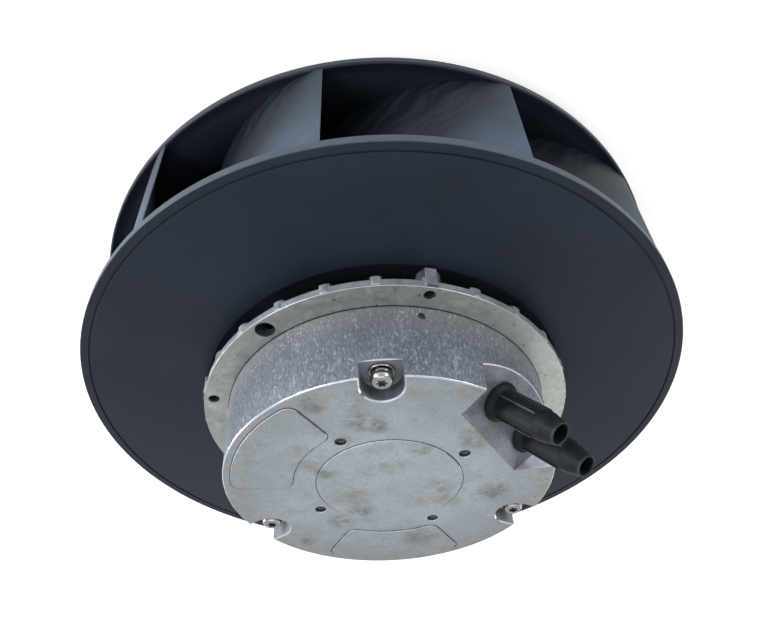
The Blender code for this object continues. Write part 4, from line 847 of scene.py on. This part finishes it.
# Machined ring with ribs, lugs, posts for the board and bosses for the cover screws
def buildFlange(s):
    under, hubUnder = flangeFace - s["thickness"], flangeFace - s["hub"]
    seat, top = flangeFace - s["seatDepth"], flangeFace - s["ribDrop"]
    collarTop, postTop = heights("bearing_tube")[1], heights("stator_flange")[1]
    outline = rounded([
        (s["radius"], flangeFace, s["chamfer"]), (s["radius"], under, 0.5), (s["step"], under, 1.0),
        (s["step"] - s["thickness"], hubUnder, 1.0), (s["collarBore"], hubUnder, 0.4),
        (s["collarBore"], collarTop, 0.4), (s["collar"], collarTop, 0.6), (s["collar"] + 0.3, seat, 1.0),
        (s["coverSeat"], seat), (s["coverSeat"] + 0.1, flangeFace),
    ])
    flange = solid("flangeCasting", turned(outline, s["steps"]))
    ribTurns = [turnedBy(s["ribFirst"] + 360 * k / s["ribs"]) for k in range(s["ribs"])]
    combined(flange, ribShape(s), ribTurns, "UNION")
    lugLow = under - s["lugDepth"]
    lugAngles = [s["lugFirst"] + 90 * k for k in range(4)]
    lugPlaces = around(s["lugCircle"], s["lugFirst"], 4)
    corners = [(0, lugLow), (s["lugRadius"], lugLow, 0.8), (s["lugRadius"], top), (0, top)]
    combined(flange, turned(rounded(corners), 48, False), lugPlaces, "UNION")
    nose, half = s["radius"] + s["lugProud"], s["lugRadius"] / 2
    corners = [(s["lugCircle"], -half), (nose, -half, 0.6), (nose, half, 0.6), (s["lugCircle"], half)]
    front = slab(rounded(corners), lugLow + 0.3, top - 0.3)
    combined(flange, front, [turnedBy(angle) for angle in lugAngles], "UNION")
    postPlaces = around(s["postCircle"], s["postFirst"], 3)
    combined(flange, cylinder(s["post"], under + 1, postTop, 32), postPlaces, "UNION")
    boss = cylinder(s["boss"], flangeFace - s["bossDepth"], under + 1, 40)
    combined(flange, boss, screwPlaces, "UNION")
    combined(flange, holeTool(s["lugHole"], lugLow - 4), lugPlaces)
    port = holeTool(s["portRadius"], under - 12, 0.12, 56)
    combined(flange, port, [at(s["portCircle"], s["portAngle"])])
    screwHole = cylinder(s["screwHole"], flangeFace - s["screwDepth"], flangeFace + 4, 24)
    combined(flange, screwHole, screwPlaces)
    combined(flange, cylinder(s["postHole"], flangeFace + 1.3, flangeFace + 20, 20), postPlaces)
    pinHole = cylinder(s["pinHole"], hubUnder - 4, flangeFace + 4, 16)
    combined(flange, pinHole, [at(s["pinCircle"], angle) for angle in s["pinAngles"]])

    def choose(polygon):
        centre = polygon.center / mm
        reach = hypot(centre.x, centre.y)
        if polygon.normal.z > 0.9 and centre.z > flangeFace - 0.2:
            return 0
        if centre.z > flangeFace - s["chamfer"] - 0.02 and reach > s["radius"] - s["chamfer"] - 0.1:
            return 1
        fromLug = nearest(centre, s["lugCircle"], lugAngles)
        outward = (polygon.normal.x * centre.x + polygon.normal.y * centre.y) / reach
        if reach > s["radius"] - 1.5 and outward > 0 and not fromLug < s["lugRadius"] + 0.05:
            return 2
        return 3

    # Faces that are neither the top face nor the rim take the skin in painted shade
    skins = [faced, dullEdge, rimSkin, paintedShadeSkin]
    finished(flange, skins, "stator", "cast_aluminium", "stator_flange", choose=choose)


buildFlange(flangeSizes)
print("flange made")


coverSizes = {
    "radius": 64.8, "topRadius": 64.1, "edge": 0.4, "wall": 3.2, "roof": 3.0, "lip": 0.7, "broken": 0.4,
    "disc": 28.4, "padEdge": 0.25, "groove": 0.35, "grooveDepth": 0.3,
    "panelInner": 37.5, "panelEdge": 3.0, "panelCorner": 4.0, "panelSpan": 56.0,
    "panelAngles": (150.0, 270.0), "pocketHalf": 7.6, "pocketDepth": 7.1, "pocketFoot": 0.6,
    "column": 5.0, "screwHole": 2.35, "tapped": 2.2, "tappedCircle": 33.2, "tappedFirst": 30.5,
    "tappedDepth": 7.0, "pitch": 0.7, "tappedBoss": 4.5, "pinMark": 1.5, "pinAngle": 76.8,
    "pinHeight": 4.5, "slope": 40.0, "glandAngle": 30.0, "chordInset": 20.6, "sides": (4.5, 57.2),
    "glandSeat": 54.0, "glandOffsets": (-10.1, 13.4), "glandHole": 5.2, "steps": 240,
}
glandChord = coverSizes["topRadius"] - coverSizes["chordInset"]


# U-shaped outline of a screw pocket, open at the cover's wall
def pocketOutline(half):
    mouth = coverSizes["topRadius"] - 0.3
    inner = arc((screwCircle, 0.0), (half, half), 90, 270, 20)
    return [(mouth + 4, half + 4), (mouth, half), *inner, (mouth, -half), (mouth + 4, -half - 4)]


# Raised pad for a label, with round corners
def panelOutline(s, grow=0.0):
    inner, outer = s["panelInner"] - grow, s["topRadius"] - s["panelEdge"] + grow
    half = s["panelSpan"] / 2 + degrees(grow / inner)
    corner = s["panelCorner"] + grow
    corners = []
    for radius, sign in ((inner, 1), (outer, -1)):
        for step in range(9):
            turn = radians(sign * (half - 2 * half * step / 8))
            spot = (radius * cos(turn), radius * sin(turn))
            corners.append((*spot, corner) if step in (0, 8) else spot)
    return rounded(corners, 6)


# Space above the sloped face of the glands, kept or cut with a wall's thickness to spare
def glandSpace(s, wall=0.0):
    chord = glandChord - wall
    near, far = [], []
    for side, sign in zip(s["sides"], (-1, 1)):
        lean = radians(side - s["glandAngle"])
        shift = wall * sign / cos(lean)
        near.append((chord, chord * tan(lean) + shift))
        far.append((76, 76 * tan(lean) + shift))
    shape = slab([near[0], far[0], far[1], near[1]], coverLow, coverTop + 4)
    slope = radians(s["slope"])
    for vert in shape.verts:
        if vert.co.z < coverTop * mm:
            drop = (vert.co.x / mm - glandChord) * tan(slope) + wall / cos(slope)
            vert.co.z = (coverTop - drop) * mm
    shape.transform(turnedBy(s["glandAngle"]))
    return tidied(shape)


# Where each gland stands: square to the sloped face
def glandPlaces(s):
    slope, seat = radians(s["slope"]), s["glandSeat"]
    height = coverTop - (seat - glandChord) * tan(slope)
    lean = Matrix.Rotation(slope, 4, "Y")
    return [
        turnedBy(s["glandAngle"]) @ Matrix.Translation((seat * mm, -offset * mm, height * mm)) @ lean
        for offset in s["glandOffsets"]
    ]


# Tool for a tapped hole: broken mouth, then thread grooves drawn as rings of the real pitch
def tappedTool(s):
    radius, low, pitch = s["tapped"], coverTop - s["tappedDepth"], s["pitch"]
    points = [(0.0, low - 1.2), (radius - 0.4, low)]
    for turn in range(8):
        points += [(radius - 0.4, low + 0.2 + turn * pitch), (radius, low + 0.2 + (turn + 0.5) * pitch)]
    points += [(radius, coverTop - 0.25), (radius + 2.25, coverTop + 2), (0.0, coverTop + 2)]
    return turned(points, 32, closed=False)


# Tool that breaks the outer edge of a pocket's floor
def floorEdgeTool(s, pocketFloor):
    size, width = s["broken"] * 1.42, 2 * s["pocketHalf"] + 2
    shape = bmesh.new()
    bmesh.ops.create_cube(shape, size=mm)
    bmesh.ops.scale(shape, verts=shape.verts, vec=(size, width, size))
    shape.transform(Matrix.Rotation(radians(45), 4, "Y"))
    reach = s["topRadius"] + (s["radius"] - s["topRadius"]) * s["pocketDepth"] / (coverTop - coverLow)
    bmesh.ops.translate(shape, verts=shape.verts, vec=(reach * mm, 0, pocketFloor * mm))
    return shape


# The tool also broke the outer edge of the sloped gland face
def breakSlopeEdge(cover, s, slopeNormal):
    shape = bmesh.new()
    shape.from_mesh(cover.data)
    edges = []
    for edge in shape.edges:
        if len(edge.link_faces) != 2 or edge.calc_length() < 0.05 * mm:
            continue
        middle = (edge.verts[0].co + edge.verts[1].co) / 2 / mm
        turn = degrees(atan2(middle.y, middle.x))
        onSlope = [face.normal.dot(slopeNormal) > 0.99 for face in edge.link_faces]
        farOut = hypot(middle.x, middle.y) > s["topRadius"] - 1.5
        if farOut and s["sides"][0] - 1 < turn < s["sides"][1] + 1 and onSlope[0] != onSlope[1]:
            edges.append(edge)
    softened(shape, edges, s["broken"], 1)
    shape.to_mesh(cover.data)
    shape.free()


# Cast housing: grooves and pads first, then the hollow inside, then pockets, slope and holes
def buildCover(s):
    skirtLow, top, edge = flangeFace + 0.12, coverTop + padRise, s["padEdge"]
    cover = solid("coverCasting", turned(rounded([
        (0.0, coverTop), (s["topRadius"] - s["edge"], coverTop, 0.25),
        (s["topRadius"] + 0.02, coverTop - s["edge"], 0.25), (s["radius"], skirtLow, 0.3),
        (s["radius"] - s["lip"], skirtLow), (s["radius"] - s["lip"], coverLow), (0.0, coverLow),
    ]), s["steps"], closed=False))
    panelTurns = [turnedBy(angle) for angle in s["panelAngles"]]
    grooveLow = coverTop - s["grooveDepth"]
    combined(cover, cylinder(s["disc"] + s["groove"], grooveLow, coverTop + 1, 128))
    combined(cover, slab(panelOutline(s, s["groove"]), grooveLow, coverTop + 1), panelTurns)
    disc = [
        (0.0, top), (s["disc"] - edge, top), (s["disc"], top - edge), (s["disc"], coverTop - 1),
        (0.0, coverTop - 1),
    ]
    combined(cover, turned(disc, 128, closed=False), how="UNION")
    panel = slab(panelOutline(s), coverTop - 1, top)
    rims = [e for e in panel.edges if min(v.co.z for v in e.verts) > coverTop * mm]
    softened(panel, rims, edge, 1)
    combined(cover, panel, panelTurns, "UNION")

    roof, inner, pocketFloor = coverTop - s["roof"], s["radius"] - s["wall"], coverTop - s["pocketDepth"]
    sides = [(0.0, roof), (inner - 1.5, roof), (inner, coverLow - 4), (0.0, coverLow - 4)]
    cavity = solid("cavity", turned(sides, 96, closed=False))
    pocketTurns = [turnedBy(angle) for angle in screwAngles]
    liner = slab(pocketOutline(s["pocketHalf"] + s["roof"]), pocketFloor - s["roof"], roof + 4)
    combined(cavity, liner, pocketTurns)
    combined(cavity, cylinder(s["column"], coverLow - 8, pocketFloor, 40), screwPlaces)
    combined(cavity, glandSpace(s, s["roof"]))
    tappedPlaces = around(s["tappedCircle"], s["tappedFirst"], 4)
    combined(cavity, cylinder(s["tappedBoss"], coverTop - s["tappedDepth"] - 2, roof + 4, 32), tappedPlaces)
    hollow = bmesh.new()
    hollow.from_mesh(cavity.data)
    bpy.data.objects.remove(cavity)
    combined(cover, hollow)

    half, foot = s["pocketHalf"], s["pocketFoot"]
    pocket = lofted([
        (pocketOutline(half - foot), pocketFloor), (pocketOutline(half), pocketFloor + foot),
        (pocketOutline(half), coverTop - 0.5), (pocketOutline(half + 2.5), coverTop + 2),
    ])
    combined(cover, pocket, pocketTurns)
    combined(cover, floorEdgeTool(s, pocketFloor), pocketTurns)
    combined(cover, glandSpace(s))
    combined(cover, cylinder(s["screwHole"], coverLow - 4, pocketFloor + 4, 32), screwPlaces)
    combined(cover, cylinder(s["glandHole"], -6, 3, 48), glandPlaces(s))
    combined(cover, tappedTool(s), tappedPlaces)
    pinPlace = at(s["radius"] - 0.7, s["pinAngle"], flangeFace + s["pinHeight"])
    combined(cover, cylinder(s["pinMark"], -0.5, 4, 24), [pinPlace @ Matrix.Rotation(pi / 2, 4, "Y")])
    slope = radians(s["slope"])
    slopeNormal = turnedBy(s["glandAngle"]).to_3x3() @ Vector((sin(slope), 0, cos(slope)))
    breakSlopeEdge(cover, s, slopeNormal)

    # 0 top face, 1 drafted wall, 2 cut edge, 3 pockets in painted shade, 4 gland face partly in painted
    # shade, 5 inside in painted shade, 6 beside the glands in painted light
    def choose(polygon):
        centre, normal = polygon.center / mm, polygon.normal
        reach = hypot(centre.x, centre.y)
        outward = (normal.x * centre.x + normal.y * centre.y) / max(reach, 1.0)
        atScrew = nearest(centre, screwCircle, screwAngles)
        turn = degrees(atan2(centre.y, centre.x))
        byGlands = reach > 42 and s["sides"][0] - 3 < turn < s["sides"][1] + 3
        if normal.dot(slopeNormal) > 0.99:
            return 4
        if byGlands and centre.z < coverTop - 0.02 and outward > 0.15 and polygon.area < 3 * mm * mm:
            return 2
        if centre.z > coverTop - s["edge"] - 0.1 and 0.2 < normal.z < 0.95:
            onRim = reach > s["topRadius"] - 1.2 or (atScrew < s["pocketHalf"] + 1 and centre.z < coverTop)
            return 2 if onRim else 0
        if reach > s["topRadius"] - 1.2 and 0.3 < outward < 0.9 and atScrew < 12:
            return 2
        if centre.z > coverTop - 0.1:
            return 0
        if abs(normal.z) < 0.2 and outward > 0.9 and reach > s["topRadius"] - 0.4:
            return 1
        if byGlands and abs(normal.z) < 0.2 and centre.z > coverTop - 24:
            return 6
        return 3 if atScrew < s["pocketHalf"] + 1 and centre.z > coverTop - s["pocketDepth"] - 0.2 else 5

    skins = [face, wall, brightEdge, recess, slopeSkin, paintedShadeSkin, paintedLightSideSkin]
    finished(cover, skins, "stator", "cover_aluminium", "electronics_cover", choose=choose)


buildCover(coverSizes)


gasketSizes = {"outer": 63.9, "inner": 61.9, "steps": 160}


def buildGasket(s):
    ring = turned(ringOutline(s["outer"], s["inner"], gasketLow, gasketTop, 0.3, 0.2, 3), s["steps"])
    finished(solid("coverSeal", ring), [rubber], "stator", "black_rubber", "cover_gasket")


buildGasket(gasketSizes)
print("cover made")


glandSizes = {
    "length": 29.2, "taper": 8.5, "body": 5.75, "tip": 4.15, "bore": 3.5, "collar": 7.7,
    "collarHeight": 2.8, "neck": 4.9, "foot": 2.0, "ridges": 4, "ridgeFirst": -5.0, "ridge": 0.5,
    "ridgeHalf": 0.35, "lip": 0.8, "steps": 64,
}


# Rubber gland: foot, neck, collar, ribbed body and a rounded taper that is cut open at its end
def buildGlands(s):
    wallInner = -coverSizes["roof"] - 0.3
    footLow = wallInner - s["foot"]
    taperFoot = s["length"] - s["taper"]
    shoulder, ridgeTop = s["collarHeight"], s["body"] + s["ridge"]
    for index, place in enumerate(glandPlaces(coverSizes)):
        outline = rounded([
            (s["bore"], s["length"] - 0.4, 0.15), (s["bore"] + 0.2, s["length"], 0.1),
            (s["tip"] + 0.1, s["length"], 0.12), (s["tip"] + 0.1, s["length"] - s["lip"], 0.3),
            (s["body"] - 0.45, taperFoot + 3.4, 5.0), (s["body"], taperFoot + 0.2, 0.3),
            (s["body"] - 0.12, taperFoot - 0.5, 0.1), (s["body"] - 0.05, shoulder, 1.6),
            (s["collar"] - 0.6, shoulder - 0.9, 1.2), (s["collar"], 0.9, 0.3), (s["collar"], 0.3, 0.2),
            (s["neck"], 0.3), (s["neck"], wallInner),
            (s["neck"] + s["foot"], wallInner, 0.4), (s["neck"] + s["foot"], footLow, 0.4),
            (s["bore"], footLow, 0.3),
        ])
        gland = solid(f"cableGlandMoulding{index + 1}", turned(outline, s["steps"]))
        ridge = slab(rounded([
            (s["body"] - 0.6, shoulder), (ridgeTop, shoulder + 0.6, 0.3), (ridgeTop, taperFoot - 0.6, 0.3),
            (s["body"] - 0.6, taperFoot + 1.4),
        ], 3), -s["ridgeHalf"], s["ridgeHalf"])
        ridge.transform(Matrix.Rotation(pi / 2, 4, "X"))
        combined(gland, ridge, around(0, s["ridgeFirst"], s["ridges"]), "UNION")
        # Picked while the gland still stands upright: 0 body, 1 cut lip, 2 ridges with painted highlight
        picks = []
        for polygon in gland.data.polygons:
            centre = polygon.center / mm
            onRidge = centre.z > shoulder + 0.4 and hypot(*centre.xy) > ridgeTop - 0.12
            picks.append(2 if onRidge else 1 if centre.z > s["length"] - s["lip"] else 0)
        gland.data.transform(place)
        finished(
            gland, [rubber, wornRubber, ridgePaintedHighlight], "stator", "black_rubber", f"cable_gland_{index + 1}",
            choose=lambda polygon: picks[polygon.index],
        )


buildGlands(glandSizes)
print("glands made")


# Inner pieces that keep their CAD shape and only get a finish
innerFinishes = {
    "bearing_outer_ring_1": groundSteel, "bearing_outer_ring_2": groundSteel,
    "bearing_inner_ring_1": groundSteel, "bearing_inner_ring_2": groundSteel,
    "bearing_ball_set_1": groundSteel, "bearing_ball_set_2": groundSteel,
    "preload_washer": groundSteel, "shaft_clip": groundSteel,
    "bearing_tube": wall, "bearing_tube_cap": blackPlastic, "magnet_ring": ferrite,
    "stator_core": laminations, "stator_windings": copper, "filter_choke": copper,
    "end_insulator_lower": ivory, "end_insulator_upper": ivory, "terminal_block": ivory,
    "circuit_board": solderMask, "power_module": blackPlastic, "heat_pad": silicone,
    "bulk_capacitor_1": blackPlastic, "bulk_capacitor_2": blackPlastic,
    "board_screw_1": zinc, "board_screw_2": zinc, "board_screw_3": zinc,
}
for name, material in innerFinishes.items():
    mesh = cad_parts[name].data
    mesh.materials.clear()
    mesh.materials.append(material)


# A value for what the camera, mirrors and glass see, and another for the light on the part
def seenShare(tree, unseen, seen):
    rays = addNode(tree, "LightPath").outputs
    share = rays["Is Camera Ray"]
    for ray in ("Is Glossy Ray", "Is Transmission Ray"):
        share = addNode(tree, "Math", {0: share, 1: rays[ray]}, operation="MAXIMUM").outputs[0]
    return addNode(tree, "MapRange", {"Value": share, "To Min": unseen, "To Max": seen}).outputs[0]


# White for the camera and in reflections, softer as a lamp
def buildWorld(strength):
    world = bpy.data.worlds.new("studio")
    scene.world = world
    world.use_nodes = True
    tree = world.node_tree
    background = tree.nodes["Background"].inputs
    background["Color"].default_value = white
    tree.links.new(seenShare(tree, strength, 1.0), background["Strength"])


# Light grey paper that glows a little to the eye, so it reads as white
def buildFloor(size, grey, glow):
    shape = bmesh.new()
    bmesh.ops.create_grid(shape, x_segments=1, y_segments=1, size=size)
    floor = solid("studioFloor", shape)
    material, _ = newMaterial(
        "paperSweep", Roughness=0.9, Specular_IOR_Level=0.1, Base_Color=(grey, grey, grey, 1),
        Emission_Color=white,
    )
    tree = material.node_tree
    tree.links.new(seenShare(tree, 0.0, glow), tree.nodes["Principled BSDF"].inputs["Emission Strength"])
    floor.data.materials.append(material)


def buildLamp(name, place, target, size, power):
    light = bpy.data.lights.new(name, "AREA")
    light.shape = "DISK"
    light.size = size
    light.energy = power
    lamp = bpy.data.objects.new(name, light)
    scene.collection.objects.link(lamp)
    lamp.location = place
    lamp.rotation_euler = (Vector(target) - Vector(place)).to_track_quat("-Z", "Y").to_euler()


# The photograph shows the fan tipped over, so the camera is rolled to match
def buildCamera(s):
    camera = bpy.data.objects.new("camera", bpy.data.cameras.new("camera"))
    scene.collection.objects.link(camera)
    camera.data.lens = s["lens"]
    camera.data.sensor_width = s["sensor"]
    camera.data.clip_start = s["nearest"]
    place = Vector(s["place"])
    aim = (Vector(s["target"]) - place).to_track_quat("-Z", "Y").to_matrix().to_4x4()
    roll = Matrix.Rotation(radians(s["roll"]), 4, "Z")
    camera.matrix_world = Matrix.Translation(place) @ aim @ roll
    scene.camera = camera


white = (1, 1, 1, 1)
# Lens and sensor in millimetres, places in metres, roll in degrees
cameraView = {
    "lens": 34.8, "sensor": 36, "nearest": 0.01, "place": (0.00108, 0.24956, 0.28016),
    "target": (0.00108, 0.05108, 0.08266), "roll": 176.72,
}
# Place, target, width and watts of each round lamp
lamps = {
    "softBoxFront": ((-0.98, 0.66, 0.1), (0, 0, 0.07), 0.3, 11.5),
    "softBoxLeft": ((-1.1, -0.2, 0.14), (0, 0, 0.1), 0.35, 9.0),
    "softBoxRight": ((0.85, 0.88, 0.16), (0, 0, 0.1), 0.35, 7.5),
    "keyLight": ((-0.62, 0.62, 0.5), (0, 0, 0.09), 0.3, 3.0),
    "softBoxAbove": ((-0.1, 0.25, 1.3), (0, 0, 0.08), 0.9, 5.0),
    "rimLight": ((0.9, -0.7, 0.5), (0, 0, 0.06), 0.4, 1.8),
}
buildWorld(0.42)
buildFloor(3.0, 0.86, 0.5)
for name, values in lamps.items():
    buildLamp(name, *values)
buildCamera(cameraView)
scene.view_settings.view_transform = "Standard"

print("studio made")
